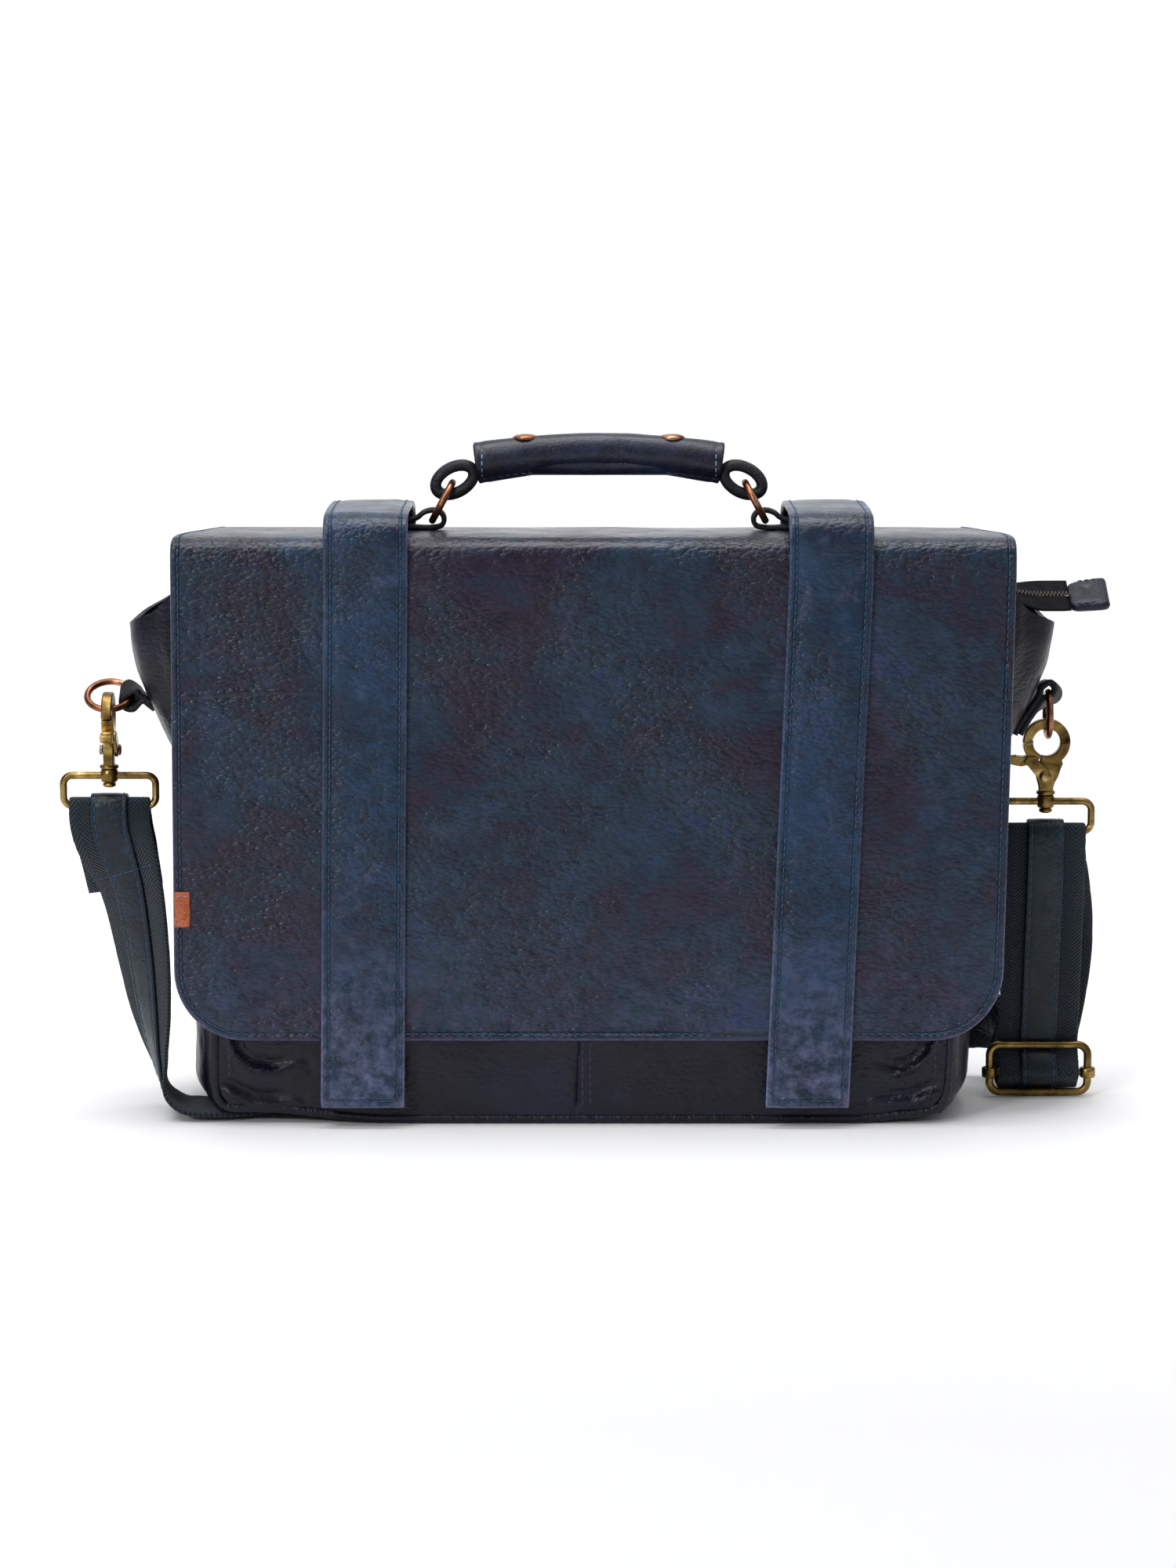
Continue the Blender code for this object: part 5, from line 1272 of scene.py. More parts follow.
def build_lining():
    rows, edge, uv = [], [], []
    count = 96
    for z in np.linspace(LINING_LOW, LINING_HIGH, 40):
        half_x = panel_half(z) - 3.9
        half_y = body_depth(z) - LEATHER - GAP - 0.4
        corners = rounded_rectangle(half_x, half_y, 12.0, 4)
        outline = curve([Vector((u + body_middle(z), v, z)) for u, v in corners], 8.0, True)
        array = np.array(outline)
        ring = []
        for i in range(count + 1):
            share = (i % count) / count * len(outline)
            a, b = int(share) % len(outline), (int(share) + 1) % len(outline)
            spot = Vector(mix(array[a], array[b], share - int(share)))
            slack = 1.2 * abs(wander(spot.x / 34.0, spot.y / 20.0, z / 40.0))
            ring.append(spot + (Vector((body_middle(z), 0, z)) - spot).normalized() * (0.6 + slack))
        rows.append(ring)
        edge.append([min(20.0, LINING_HIGH - z)] * (count + 1))
        uv.append([(i * 0.009, z * MM) for i in range(count + 1)])
    sack = slab("lining_sack", rows, edge, uv, 0.9, lining_cloth)
    floor_points = rounded_rectangle(164.0, 44.0, 11.0, 4)
    floor = prism("lining_floor", floor_points, LINING_LOW + 0.2, LINING_LOW + 1.2,
                  lambda u, w, v: Vector((u + BODY_SHIFT, v, w)), lining_cloth, 0.2, 1)
    apply_modifiers(floor)
    sack = joined("lining_sack", [sack, floor])
    place(sack, "bag", "lining_cloth", ("lining",))


def build_divider():
    """Padded, quilted laptop divider."""
    columns, levels = 72, 46
    points, faces = [], []
    index = {}
    for side in (-1, 1):
        for r in range(levels):
            z = mix(PAD_LOW, PAD_HIGH, r / (levels - 1))
            cut = 8.0 * smooth((z - PAD_HIGH + 10.0) / 10.0) + 5.0 * smooth((PAD_LOW + 6.0 - z) / 6.0)
            up = (z - PAD_LOW) / 200
            left, right = mix(-164.0, -160.0, up) + cut, mix(152.0, 156.0, up) - cut
            for c in range(columns):
                border = r in (0, levels - 1) or c in (0, columns - 1)
                if border and side > 0:
                    index[side, r, c] = index[-1, r, c]
                    continue
                x = mix(left, right, c / (columns - 1))
                gap = min(c, columns - 1 - c) * 4.4, min(r, levels - 1 - r) * 4.4
                puff = 2.9 * math.sqrt(min(1.0, min(gap) / 12.0))
                quilt = 0.7 * math.exp(-(((x + 400.0) % 42.0 - 21.0) / 2.2) ** 2)
                index[side, r, c] = len(points)
                points.append(Vector((x, PAD_Y + side * (0 if border else max(0.5, puff - quilt)), z)))
    for r in range(levels - 1):
        for c in range(columns - 1):
            quad = [(r, c), (r, c + 1), (r + 1, c + 1), (r + 1, c)]
            faces.append(tuple(index[-1, i, k] for i, k in quad))
            faces.append(tuple(index[1, i, k] for i, k in quad[::-1]))
    pad = mesh_object("laptop_pad", points, faces, pad_cloth)
    place(pad, "bag", "padding", ("laptop_divider",))


# ---------------------------------------------------------------- flap and straps

def flap_front_y(z):
    """y of the flap's outer face where it hangs, leaning away from the body."""
    return -mix(50.3, 58.3, (FLAP_FRONT_TOP - z) / (FLAP_FRONT_TOP - FLAP_BOTTOM))


class Profile:
    """A (y, z) path as a function of the length along it."""

    def __init__(self, points):
        self.points = curve([Vector((0.0, y, z)) for y, z in points], 1.0)
        steps = [(b - a).length for a, b in zip(self.points, self.points[1:])]
        self.lengths = np.concatenate([[0.0], np.cumsum(steps)])
        self.total = float(self.lengths[-1])
        self.array = np.array(self.points)
        over = [i for i, p in enumerate(self.points) if p.y <= 0.0]
        self.split = float(self.lengths[over[0]])       # length at the middle of the bag's top

    def at(self, s):
        y, z = (float(np.interp(s, self.lengths, self.array[:, k])) for k in (1, 2))
        return y, z

    def normal(self, s):
        """Outward normal, out of the bag."""
        a, b = self.at(max(0.0, s - 0.6)), self.at(min(self.total, s + 0.6))
        along = Vector((0.0, b[0] - a[0], b[1] - a[1])).normalized()
        return X_AXIS.cross(along) * -1.0


front_levels = (257.0, 230.0, 200.0, 150.0, 100.0)
flap_path = [(body_depth(z) + GAP + FLAP_THICK / 2, z) for z in (200.0, 217.0, 234.0, 250.0)]
flap_path += [(45.3, 259.0), (46.2, 266.0), (45.2, 269.0), (42.4, 270.6), (36.0, 271.5), (0.0, 273.0),
              (-36.0, 273.7), (-43.0, 272.6), (-47.0, 270.0), (-48.3, 266.5)]
flap_path += [(flap_front_y(z) + FLAP_THICK / 2, z) for z in (*front_levels, FLAP_BOTTOM)]
flap = Profile(flap_path)

strap_path = [(body_depth(z) + 3 * GAP + FLAP_THICK + STRAP_THICK / 2, z)
              for z in (190.0, 210.0, 230.0, 251.0)]
strap_path += [(49.4, 264.0), (50.0, 271.0), (48.6, 277.0), (43.5, 281.8), (34.0, 284.4), (0.0, 285.6),
               (-34.0, 285.2), (-45.0, 283.9), (-50.5, 280.2), (-52.4, 275.0), (-52.2, 268.0)]
strap_path += [(flap_front_y(z) - GAP - STRAP_THICK / 2, z) for z in (*front_levels, STRAP_BOTTOM)]
strap = Profile(strap_path)


def flap_edges(y, z):
    """Left and right edge of the flap at a place on its path."""
    if y > 30.0 or z > FLAP_FRONT_TOP:
        if z < 266.0 and y > 30.0:
            half = mix(FLAP_HALF_REAR, FLAP_HALF_BACK, smooth((z - 250.0) / 16.0))
        else:
            half = mix(FLAP_HALF_BACK, FLAP_HALF, smooth((46.0 - y) / 92.0))
        return -half, half
    drift = FLAP_DRIFT * (FLAP_FRONT_TOP - z) / (FLAP_FRONT_TOP - FLAP_BOTTOM)
    return -FLAP_HALF, FLAP_HALF - drift


def flap_relief(x, z, y):
    """Soft unevenness of the hanging leather, with the star-shaped crease and the scar on its left."""
    hang = smooth((FLAP_FRONT_TOP + 6.0 - z) / 40.0) if y < 0 else 0.0
    swell = 1.1 * wander(x / 85.0, z / 70.0, 1.5) + 0.45 * wander(x / 30.0, z / 24.0, 5.5)
    swell += 0.16 * wander(x / 9.0, z / 8.0, 9.0)
    top = 0.0 if y < -30.0 else 0.5 * wander(x / 50.0, y / 30.0, 2.5)
    star = 0.0
    for degrees in (10, 75, 130, 165, 215, 290):
        a = math.radians(degrees)
        dx, dz = x - STAR_X, z - STAR_Z
        along, off = dx * math.cos(a) + dz * math.sin(a), -dx * math.sin(a) + dz * math.cos(a)
        if along > 0:
            star -= 0.7 * math.exp(-(off / 1.8) ** 2 - (along / 14.0) ** 2)
    level = SCAR_Z + 0.035 * (x + 160.0) + 0.6 * math.sin(x / 9.0)
    scar = (0.55 * math.exp(-((z - level) / 0.7) ** 2) - 0.35 * math.exp(-((z - level + 1.6) / 0.9) ** 2))
    scar *= smooth((-122.0 - x) / 24.0)
    return swell * hang + top + (star + scar) * hang


def flap_rows(start, end):
    """Stations along the flap, close together at its folds, its lower edge and the crease."""
    rows = [start]
    while rows[-1] < end - 0.6:
        y, z = flap.at(rows[-1])
        step = 3.2
        if z > 252.0 and abs(y) > 30.0:
            step = 1.3
        if y < 0 and abs(z - 203.0) < 7.0:
            step = 0.6
        left = flap.total - rows[-1]
        if end == flap.total and left < 40.0:
            step = max(0.3, min(3.0, 0.32 * left ** 0.62))
        if start == 0.0 and rows[-1] < 3.0:
            step = 0.4
        rows.append(min(end, rows[-1] + step))
    rows[-1] = end
    return rows


def flap_curl(x, z, gap):
    """How far the flap's free edge curls; gap is the distance from the edge."""
    return 0.9 * wander(x / 40.0, z / 40.0, 12.0) * (1.0 - smooth(gap / 16.0))


def flap_part(name, start, end, caps):
    """The flap's leather between two lengths along its path."""
    offsets = [0.0, 0.35, 0.9, 1.6, 2.6, 4.0, 6.0]
    inner = 122
    middle, edge, uv = [], [], []
    for s in flap_rows(start, end):
        y, z = flap.at(s)
        left, right = flap_edges(y, z)
        up = flap.total - s
        low = z - FLAP_BOTTOM if y < 0 else 999.0
        cut = 0.0
        if low < FLAP_CORNER:
            rise = FLAP_CORNER - low
            cut = FLAP_CORNER - math.sqrt(max(0.0, FLAP_CORNER ** 2 - rise ** 2))
        first, last = left + cut, right - cut
        xs = [first + o for o in offsets]
        xs += [mix(first + 6.0, last - 6.0, i / inner) for i in range(1, inner)]
        xs += [last - o for o in offsets[::-1]]
        normal = flap.normal(s)
        row, edge_row, uv_row = [], [], []
        for x in xs:
            gap = min(x - left, right - x, up if y < 0 else 999.0, s if y > 0 else 999.0)
            if low < FLAP_CORNER and (x < left + FLAP_CORNER or x > right - FLAP_CORNER):
                centre = left + FLAP_CORNER if x < 0 else right - FLAP_CORNER
                gap = FLAP_CORNER - math.hypot(x - centre, low - FLAP_CORNER)
            relief = flap_relief(x, z, y) * smooth(gap / 7.0)
            curl = flap_curl(x, z, gap) if y < -40 and z < 240 else 0.0
            row.append(Vector((x, y, z)) + normal * (relief + curl))
            edge_row.append(max(0.0, gap))
            uv_row.append((x * MM, -s * MM))
        middle.append(row)
        edge.append(edge_row)
        uv.append(uv_row)
    return slab(name, middle, edge, uv, FLAP_THICK, flap_leather, caps)


def flap_seam_line(side, s):
    """A stitch line's place and normal at a length along the flap."""
    y, z = flap.at(s)
    left, right = flap_edges(y, z)
    x = left + STITCH_INSET if side < 0 else right - STITCH_INSET
    return Vector((x, y, z)) + flap.normal(s) * (FLAP_THICK / 2 + 0.05), flap.normal(s)


def flap_seams():
    """Stitches along both sides and the lower edge, in a rear and a front part."""
    rear = []
    for side in (-1, 1):
        line = [flap_seam_line(side, s) for s in np.linspace(4.0, flap.split, 60)]
        rear += spots_along(line, FLAP_PITCH, STITCH_SLANT)
    low = flap.total - FLAP_CORNER
    line = [flap_seam_line(-1, s) for s in np.linspace(flap.split, low, 120)]
    radius = FLAP_CORNER - STITCH_INSET
    for side, turns in ((-1, np.linspace(0.0, math.pi / 2, 14)), (1, np.linspace(math.pi / 2, 0.0, 14))):
        for a in turns:
            z = FLAP_BOTTOM + FLAP_CORNER - radius * math.sin(a)
            left, right = flap_edges(-55.0, z)
            centre = left + FLAP_CORNER if side < 0 else right - FLAP_CORNER
            x = centre + side * radius * math.cos(a)
            line.append((Vector((x, flap_front_y(z) - 0.05, z)), -Y_AXIS))
    line += [flap_seam_line(1, s) for s in np.linspace(low, flap.split, 120)]
    placed = []
    for point, normal in line:
        relief = flap_relief(point.x, point.z, point.y) * smooth(STITCH_INSET / 7.0)
        curl = flap_curl(point.x, point.z, STITCH_INSET) if point.y < -40 and point.z < 240 else 0.0
        placed.append((point + normal * (relief + curl), normal))
    return rear, spots_along(placed, FLAP_PITCH, STITCH_SLANT)


def strap_x(side, y, z):
    """x of a sewn strap's middle line."""
    if y < 0 and z < FLAP_FRONT_TOP:
        share = (FLAP_FRONT_TOP - z) / (FLAP_FRONT_TOP - STRAP_BOTTOM)
        return mix(STRAP_TOP_X[side], STRAP_BOTTOM_X[side], share)
    return STRAP_TOP_X[side]


def strap_spot(side, s, a):
    """Middle of the strap's thickness at a length along it and an offset across, with its normal."""
    y, z = strap.at(s)
    x = strap_x(side, y, z) + a
    normal = strap.normal(s)
    follow = flap_relief(x, z, y) if y < 0 and z < FLAP_FRONT_TOP else 0.0
    if z < FLAP_BOTTOM + 6.0:
        follow *= smooth((z - 14.0) / 30.0)
    own = 0.35 * wander(s / 26.0, a / 22.0, 3.0 + SIGN[side]) + 0.14 * wander(s / 8.0, a / 7.0, SIGN[side])
    gap = STRAP_WIDTH / 2 - abs(a)
    hump = 0.55 * smooth((gap - 4.2) / 5.0)
    return Vector((x, y, z)) + normal * (max(-0.25, follow) + (own + hump) * smooth(gap / 4.0)), normal


def strap_part(name, side, start, end, caps):
    """A sewn strap's leather between two lengths along its path."""
    half = STRAP_WIDTH / 2
    offsets = [0.0, 0.35, 0.9, 1.6, 2.4, 3.0, 3.4, 3.8, 4.6, 6.0, 8.0, 10.5, 13.0, 16.0]
    xs = [-half + o for o in offsets] + [0.0] + [half - o for o in offsets[::-1]]
    rows = [start]
    while rows[-1] < end - 0.6:
        near_start = start == 0.0 and rows[-1] < 2.2
        near_end = end == strap.total and strap.total - rows[-1] < 2.2
        step = 0.45 if near_start or near_end else 2.0
        rows.append(min(end, rows[-1] + step))
    rows[-1] = end
    middle, edge, uv = [], [], []
    for s in rows:
        row, edge_row, uv_row = [], [], []
        for a in xs:
            spot = strap_spot(side, s, a)[0]
            gap = half - abs(a)
            if start == 0.0:
                gap = min(gap, s)
            if end == strap.total:
                gap = min(gap, strap.total - s)
            row.append(spot)
            edge_row.append(max(0.0, gap))
            uv_row.append(((a + 60.0 * SIGN[side]) * MM, -s * MM))
        middle.append(row)
        edge.append(edge_row)
        uv.append(uv_row)
    return slab(name, middle, edge, uv, STRAP_THICK, strap_leather, caps)


def strap_seams(side):
    """Stitches round a strap, in a rear and a front part."""
    inset = STITCH_INSET
    half = STRAP_WIDTH / 2 - inset

    def at(s, a):
        spot, normal = strap_spot(side, s, a)
        return spot + normal * (STRAP_THICK / 2 + 0.03), normal

    def stitched(line):
        return spots_along(line, STRAP_PITCH, STITCH_SLANT)

    rear, front = [], []
    for a in (-half, half):
        rear += stitched([at(s, a) for s in np.linspace(inset, strap.split, 90)])
        front += stitched([at(s, a) for s in np.linspace(strap.split, strap.total - inset, 200)])
    rear += stitched([at(inset, a) for a in np.linspace(-half, half, 14)])
    front += stitched([at(strap.total - inset, a) for a in np.linspace(-half, half, 14)])
    return rear, front


def bend_rear(obj):
    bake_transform(obj)


def bend_front(obj):
    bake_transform(obj)


def build_flap():
    """The flap's leather and seams, in two pieces that meet at the middle of its top."""
    rear = flap_part("flap_skin_rear", 0.0, flap.split, ("last",))
    front = flap_part("flap_skin_front", flap.split, flap.total, ("first",))
    rear_seams, front_seams = flap_seams()
    rear_thread = bars("flap_seam_rear", rear_seams, FLAP_STITCH, THREAD_R, blue_thread)
    front_thread = bars("flap_seam_front", front_seams, FLAP_STITCH, THREAD_R, blue_thread)
    for obj, bend in ((rear, bend_rear), (rear_thread, bend_rear), (front, bend_front),
                      (front_thread, bend_front)):
        bend(obj)
    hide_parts("flap_rear")
    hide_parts("flap_top", "flap_front")


def build_backing():
    """Cloth lining on the hanging part of the flap."""
    rows, edge, uv = [], [], []
    low, high = FLAP_BOTTOM + BACKING_INSET, FLAP_FRONT_TOP - BACKING_TOP
    for z in np.linspace(low, high, 46):
        drift = FLAP_DRIFT * (FLAP_FRONT_TOP - z) / (FLAP_FRONT_TOP - FLAP_BOTTOM)
        left, right = -FLAP_HALF + BACKING_INSET, FLAP_HALF - BACKING_INSET - drift
        rise = max(0.0, FLAP_CORNER - (z - low))
        cut = FLAP_CORNER - math.sqrt(max(0.0, FLAP_CORNER ** 2 - rise ** 2))
        row, edge_row, uv_row = [], [], []
        for i in range(81):
            x = mix(left + cut, right - cut, i / 80)
            gap = min(x - left - cut, right - cut - x, z - low, high - z)
            y = flap_front_y(z) + FLAP_THICK + 0.75 - flap_relief(x, z, -55.0) * smooth(gap / 9.0)
            row.append(Vector((x, y, z)))
            edge_row.append(max(0.0, gap))
            uv_row.append((x * MM, z * MM))
        rows.append(row)
        edge.append(edge_row)
        uv.append(uv_row)
    backing = slab("flap_backing", rows, edge, uv, 0.8, lining_cloth)
    place(backing, "flap_front", "lining_cloth", ("flap_lining",))


def build_flap_straps():
    for side in SIDES:
        rear = strap_part("strap_skin_rear_" + side, side, 0.0, strap.split, ("last",))
        front = strap_part("strap_skin_front_" + side, side, strap.split, strap.total, ("first",))
        rear_spots, front_spots = strap_seams(side)
        rear_thread = bars("strap_seam_rear_" + side, rear_spots, STRAP_STITCH, THREAD_R, blue_thread)
        front_thread = bars("strap_seam_front_" + side, front_spots, STRAP_STITCH, THREAD_R, blue_thread)
        for obj, bend in ((rear, bend_rear), (rear_thread, bend_rear), (front, bend_front),
                          (front_thread, bend_front)):
            bend(obj)
        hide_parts("strap_rear_" + side)
        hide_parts("strap_arch_" + side, "flap_strap_" + side)


def build_tag():
    """Small plain leather tag at the flap's left edge."""
    seam_y = flap_front_y(103.0) - 1.5
    columns = np.linspace(-194.4, -187.0, 15)
    levels = np.linspace(94.6, 111.2, 26)
    middle, edge, uv = [], [], []
    for level in levels:
        row, edge_row, uv_row = [], [], []
        for x in columns:
            gap = min(x - columns[0], columns[-1] - x, level - levels[0], levels[-1] - level)
            dent = 0.22 * wander(x / 2.2, level / 3.4, 4.0)
            y = flap_front_y(level) - 0.75 - dent
            row.append(Vector((x + 0.3 * wander(level / 5.0, 1.0), y, level)))
            edge_row.append(gap)
            uv_row.append((x * MM, level * MM))
        middle.append(row)
        edge.append(edge_row)
        uv.append(uv_row)
    tag = slab("edge_label", middle, edge, uv, 1.3, tag_leather)
    place(tag, "flap_front", "tag_leather", ("edge_tag",))
    spots = [(Vector((x, seam_y, level)), X_AXIS.copy(), -Y_AXIS)
             for level in (96.4, 109.4) for x in (-192.4, -189.4)]
    place(bars("edge_label_seams", spots, 2.0, 0.22, pale_thread), "flap_front", "tag_leather")


# ---------------------------------------------------------------- handle

def grip_height(x):
    """z of the handle's arched middle line."""
    middle = sum(GRIP_ENDS) / 2
    return GRIP_END_Z + GRIP_ARCH * math.cos(math.pi * (x - middle) / (GRIP_ENDS[1] - GRIP_ENDS[0]))


def build_grip():
    """Rolled leather grip with its core and seams."""
    xs = np.linspace(GRIP_ENDS[0], GRIP_ENDS[1], 90)
    xs = np.concatenate([[xs[0], xs[0] + 0.25, xs[0] + 0.7], xs[1:-1], [xs[-1] - 0.7, xs[-1] - 0.25, xs[-1]]])
    sides = 44
    points, faces = [], []
    for x in xs:
        centre = Vector((x, 0, grip_height(x)))
        gap = min(x - GRIP_ENDS[0], GRIP_ENDS[1] - x)
        tip = math.sqrt(max(0.0, 1 - (1 - min(gap / 1.2, 1.0)) ** 2))
        slope = (grip_height(x + 0.5) - grip_height(x - 0.5))
        up = Vector((-slope, 0, 1)).normalized()
        for k in range(sides):
            a = 2 * math.pi * k / sides
            radius = GRIP_R - 1.2 * (1 - tip)
            down = max(0.0, -math.sin(a))
            flange = 1.1 * down ** 14
            pinch = -0.35 * math.exp(-((down - 0.93) / 0.05) ** 2)
            lump = 0.22 * wander(x / 12.0, a * 2.0, 3.0) + 0.3 - 0.95 * smooth(gap / 45.0)
            band_dip = -0.35 * math.exp(-((gap - 3.2) / 0.8) ** 2)
            size = radius + flange + pinch + lump + band_dip
            points.append(centre + size * (Y_AXIS * math.cos(a) * 0.97 + up * math.sin(a)))
    rows = len(xs)
    for x in (xs[0], xs[-1]):
        points += circle((x, 0, grip_height(x)), Y_AXIS, Z_AXIS, GRIP_BORE, sides)
    for r in range(rows - 1):
        for k in range(sides):
            a, b = r * sides + k, r * sides + (k + 1) % sides
            faces.append((a, b, b + sides, a + sides))
    for side, r in ((0, 0), (1, rows - 1)):
        inner = (rows + side) * sides
        for k in range(sides):
            j = (k + 1) % sides
            quad = (r * sides + k, inner + k, inner + j, r * sides + j)
            faces.append(quad if side == 0 else quad[::-1])
    first, second = rows * sides, (rows + 1) * sides
    for k in range(sides):
        j = (k + 1) % sides
        faces.append((first + k, second + k, second + j, first + j))
    grip = mesh_object("grip_leather", points, faces, handle_leather)
    place(grip, "handle", "handle_leather", ("handle_grip",))

    core = tube("grip_core", [Vector((x, 0, grip_height(x))) for x in np.linspace(-52.4, 57.6, 24)], CORE_R,
                loop_leather, 20)
    place(core, "handle", "loop_leather", ("handle_core",))

    spots = []
    for x in (GRIP_ENDS[0] + 3.2, GRIP_ENDS[1] - 3.2):
        ring = []
        for k in range(40):
            a = 2 * math.pi * k / 40
            out = Y_AXIS * math.cos(a) + Z_AXIS * math.sin(a)
            ring.append((Vector((x, 0, grip_height(x))) + out * (GRIP_R - 0.25), out))
        spots += spots_along(ring + ring[:1], 3.3)
    ends = bars("grip_end_seams", spots, 2.5, 0.32, pale_thread)
    place(ends, "handle", "handle_leather")
    spots = []
    for side in (-1, 1):
        line = []
        for x in np.linspace(GRIP_ENDS[0] + 3, GRIP_ENDS[1] - 3, 60):
            a = math.radians(-90 + side * 26)
            out = Y_AXIS * math.cos(a) + Z_AXIS * math.sin(a)
            line.append((Vector((x, 0, grip_height(x))) + out * (GRIP_R + 0.1), out))
        spots += spots_along(line, 3.6, 0.1)
    place(bars("grip_under_seams", spots, 2.7, 0.3, dark_thread), "handle", "handle_leather")


def build_handle_ends():
    """Loops, rivets, rings and the anchors on the flap."""
    for side in SIDES:
        sign = SIGN[side]
        centre = Vector((HANDLE_LOOP_X[side] - sign * 1.5, 0, HANDLE_LOOP_Z + 2.6))
        lean = Matrix.Rotation(sign * LOOP_LEAN, 3, "Y")
        path = [centre + lean @ Vector((9.5 * math.cos(a), 0, 5.8 * math.sin(a)))
                for a in np.linspace(0, 2 * math.pi, 65)[:-1]]
        loop = band("grip_loop_" + side, path[::-1], Y_AXIS, 10.5, 5.0, loop_leather, 0.3, True)
        place(loop, "handle", "loop_leather", ("handle_loop_" + side,))

        x = RIVET_X[side]
        profile = ((5.2, -1.9), (5.9, -1.2), (6.0, -0.5), (5.6, 0.15), (4.4, 0.75), (2.8, 1.1),
                   (1.2, 1.25), (0.3, 1.28))
        rivet = turned("grip_rivet_" + side, profile, (x, 0, grip_height(x) + GRIP_R - 0.2), Z_AXIS, copper)
        place(rivet, "handle", "copper", ("handle_rivet_" + side,))

        up = Vector((-sign * math.sin(RING_LEAN), 0, math.cos(RING_LEAN)))
        hub = Vector((HANDLE_RING_X[side], 0, SWING_Z))
        ring_path = circle(hub, up, Y_AXIS, HANDLE_RING_R, 56)
        ring = tube("handle_link_" + side, ring_path, HANDLE_WIRE_R, copper, 14, True, up.cross(Y_AXIS))
        place(ring, "handle_ring_" + side, "copper", ("handle_ring_" + side,))

        x = (hub - up * HANDLE_RING_R).x
        outline = ((30.0, 276.3), (18.0, 276.2), (8.0, 275.9), (0.0, 275.8), (-4.6, 277.0), (-5.6, 280.0),
                   (-4.2, 282.8), (0.0, 284.0), (4.2, 282.8), (6.6, 280.8), (10.4, 279.3), (16.0, 278.7),
                   (30.0, 278.9))
        path = curve([Vector((x + sign * u, 0, z)) for u, z in outline], 1.2)
        anchor = band("grip_anchor_" + side, path, Y_AXIS, 9.0, 2.4, loop_leather)
        place(anchor, "flap_top", "loop_leather", ("handle_anchor_" + side,))


# ---------------------------------------------------------------- zip and snaps

def zip_height(x):
    """Height and tilt of the zip, which drops and turns where its end pokes out."""
    share = smooth((x - 186.0) / 26.0)
    return TAPE_Z - 2.6 * share + 0.08 * max(0.0, x - 223.0), ZIP_TILT * share


def zip_spot(x, y, lift):
    z, tilt = zip_height(x)
    return Vector((x, y * math.cos(tilt) - lift * math.sin(tilt),
                   z + y * math.sin(tilt) + lift * math.cos(tilt)))


def zip_edges(x):
    """Inner and outer edge of a tape; the zip is open on its left."""
    mouth = mix(12.0, 0.2, smooth((x - ZIP_START_X) / (ZIP_MEET_X - ZIP_START_X)))
    outer = mix(body_depth(TAPE_Z) - LEATHER - 2 * GAP, TAPE_HALF, smooth((x - 150.0) / 24.0))
    return mouth, outer


def build_zip_tapes():
    stations = np.linspace(ZIP_START_X, ZIP_END_X, 150)
    for side_name, side in (("front", -1), ("back", 1)):
        middle, edge, uv = [], [], []
        for x in stations:
            mouth, outer = zip_edges(x)
            row, edge_row, uv_row = [], [], []
            for i in range(17):
                share = i / 16
                y = side * mix(mouth, outer, share)
                wave = 0.5 * wander(x / 18.0, y / 14.0, side) * math.sin(share * math.pi)
                row.append(zip_spot(x, y, wave))
                gap = min(abs(y) - mouth, outer - abs(y), x - ZIP_START_X, ZIP_END_X - x)
                edge_row.append(max(0.0, gap))
                uv_row.append((x * MM, y * MM))
            middle.append(row if side > 0 else row[::-1])
            edge.append(edge_row if side > 0 else edge_row[::-1])
            uv.append(uv_row if side > 0 else uv_row[::-1])
        tape = slab("zip_cloth_" + side_name, middle, edge, uv, 1.3, tape_cloth)
        place(tape, "bag", "zip_tape", ("zip_tape_" + side_name,))
    spots = []
    for x in np.arange(-160.0, ZIP_END_X, 1.7):
        mouth = zip_edges(x)[0]
        for side in (-1, 1):
            shift = 0.0 if side < 0 else 0.85
            turn = Matrix.Rotation(zip_height(x)[1], 3, "X")
            spots.append((zip_spot(x + shift, side * (mouth + 0.9), 0.9), turn @ Y_AXIS, turn @ Z_AXIS))
    place(bars("zip_teeth", spots, 2.9, 0.5, teeth_paint, 6, 0.2), "bag", "zip_tape")


def build_zip_tab():
    """Leather tab over the end of the tapes."""
    z, tilt = zip_height(ZIP_END_X)
    turn = Matrix.Rotation(tilt, 3, "X")

    def tab_spot(u, v, lift):
        return Vector((ZIP_END_X + GAP + TAB_MIDDLE + u, 0, z + 0.12 * u)) + turn @ Vector((0, v, lift))

    middle, edge, uv = [], [], []
    for i in range(30):
        u = mix(TAB_REAR, TAB_FRONT, i / 29)
        row, edge_row, uv_row = [], [], []
        for k in range(33):
            end = 13.2 - 3.0 * (abs(u) / -TAB_REAR) ** 6 - 0.12 * (TAB_FRONT - u)
            v = mix(-end, end, k / 32)
            gap = min(u - TAB_REAR, TAB_FRONT - u, end - abs(v))
            puff = 0.7 * math.exp(-((gap - 5.0) / 3.0) ** 2)
            row.append(tab_spot(u, v, puff - 0.2))
            edge_row.append(max(0.0, gap))
            uv_row.append((u * MM, v * MM))
        middle.append(row)
        edge.append(edge_row)
        uv.append(uv_row)
    tab = slab("zip_tab_leather", middle, edge, uv, 4.6, tab_leather)
    place(tab, "bag", "handle_leather", ("zip_end_tab",))
    seam = rounded_rectangle(6.2, 10.2, 2.0, 4)
    line = [(tab_spot(u, v, 2.6), turn @ Z_AXIS) for u, v in seam + seam[:1]]
    place(bars("zip_tab_seams", spots_along(line, 3.2), 2.4, 0.26, dark_thread), "bag", "handle_leather")


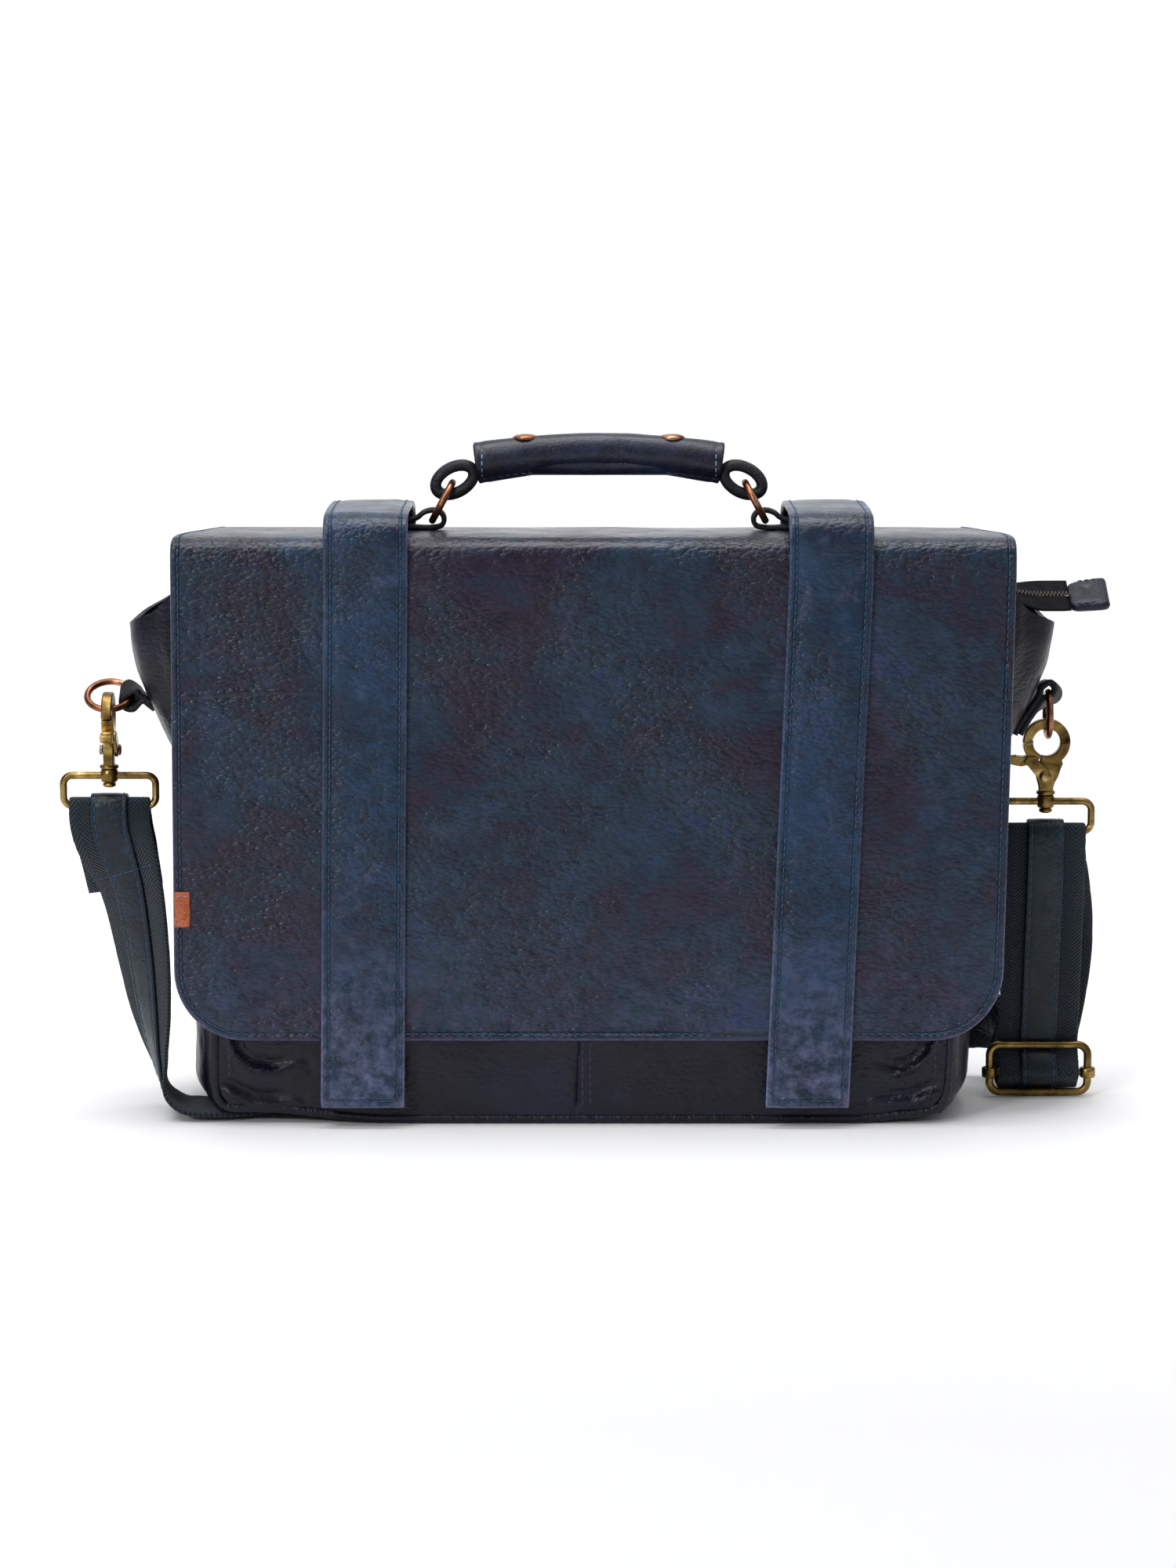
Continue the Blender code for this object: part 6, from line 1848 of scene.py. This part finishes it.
def build_zip_slider():
    """Slider with its bridge, and the pull lying to the left."""
    floor = TAPE_Z + TAPE_THICK / 2 + GAP

    def lying(u, w, v):
        return Vector((SLIDER_X + u, v, w))

    outline = [(-6.0, -2.6), (-5.4, -3.2), (2.0, -5.0), (5.2, -4.6), (6.0, -3.8), (6.0, 3.8), (5.2, 4.6),
               (2.0, 5.0), (-5.4, 3.2), (-6.0, 2.6)]
    car = prism("slider_car", outline, floor + 0.2, floor + 3.2, lying, brass, 0.7, 3)
    bridge = [(-3.6, 3.0), (-3.2, 4.4), (-1.8, 5.3), (1.0, 6.4), (2.4, 6.2), (3.4, 5.2), (4.0, 3.0),
              (2.9, 3.0), (2.4, 4.6), (1.2, 5.2), (-1.2, 4.3), (-2.4, 3.0)]
    arch = prism("slider_arch", bridge, -1.0, 1.0,
                 lambda u, w, v: Vector((SLIDER_X + u * 0.35, w, floor + v * 0.6)), brass, 0.3, 2)
    for part in (car, arch):
        apply_modifiers(part)
    place(joined("zip_car", [car, arch]), "zip_slider", "antique_brass", ("zip_slider",))
    top = floor + PULL_LIFT
    outline = [(1.5, -1.6), (-3.0, -1.6), (-6.0, -3.0), (-12.0, -3.4), (-15.6, -3.0), (-17.0, -1.4),
               (-17.0, 1.4), (-15.6, 3.0), (-12.0, 3.4), (-6.0, 3.0), (-3.0, 1.6), (1.5, 1.6)]
    pull = prism("zip_tongue", outline, top - 0.7, top + 0.7, lying, brass, 0.35, 3)
    place(apply_modifiers(pull), "zip_pull", "antique_brass", ("zip_pull",))


def build_snaps():
    """Magnetic snaps: a socket on the panel and a stud behind each strap's end."""
    for side in SIDES:
        snap_x = mix(STRAP_BOTTOM_X[side], STRAP_TOP_X[side], 0.05)
        z = 23.0
        panel_y = -body_depth(z)
        strap_y = flap_front_y(30.0) - GAP
        profile = ((6.4, 0.0), (7.0, 0.3), (7.0, 2.0), (6.6, 2.4), (4.4, 2.5), (4.0, 3.2), (1.2, 3.2),
                   (1.0, 2.6))
        socket = turned("snap_cup_" + side, profile, (snap_x, panel_y - 0.6, z), -Y_AXIS, brass)
        place(socket, "bag", "antique_brass", ("snap_socket_" + side,))
        reach = panel_y - 4.2 - strap_y
        profile = ((6.6, 0.0), (7.0, 0.3), (7.0, reach - 1.6), (6.6, reach - 1.2), (5.6, reach - 0.6),
                   (3.0, reach - 0.5))
        stud = turned("snap_disc_" + side, profile, (snap_x, strap_y + GAP, z), Y_AXIS, brass)
        place(stud, "flap_front", "antique_brass", ("snap_stud_" + side,))


# ---------------------------------------------------------------- build

webbing, cord_pieces, strap_line = build_strap()
cord_pieces += build_hooks()
for build in (build_side_rings, build_shell, build_piping, build_panel_seams, build_lining, build_divider,
              build_flap, build_backing, build_flap_straps, build_tag, build_grip, build_handle_ends,
              build_zip_tapes, build_zip_tab, build_zip_slider, build_snaps):
    build()

board = frame["nodes"]["base_board"]
board.data.materials.clear()
board.data.materials.append(board_paint)
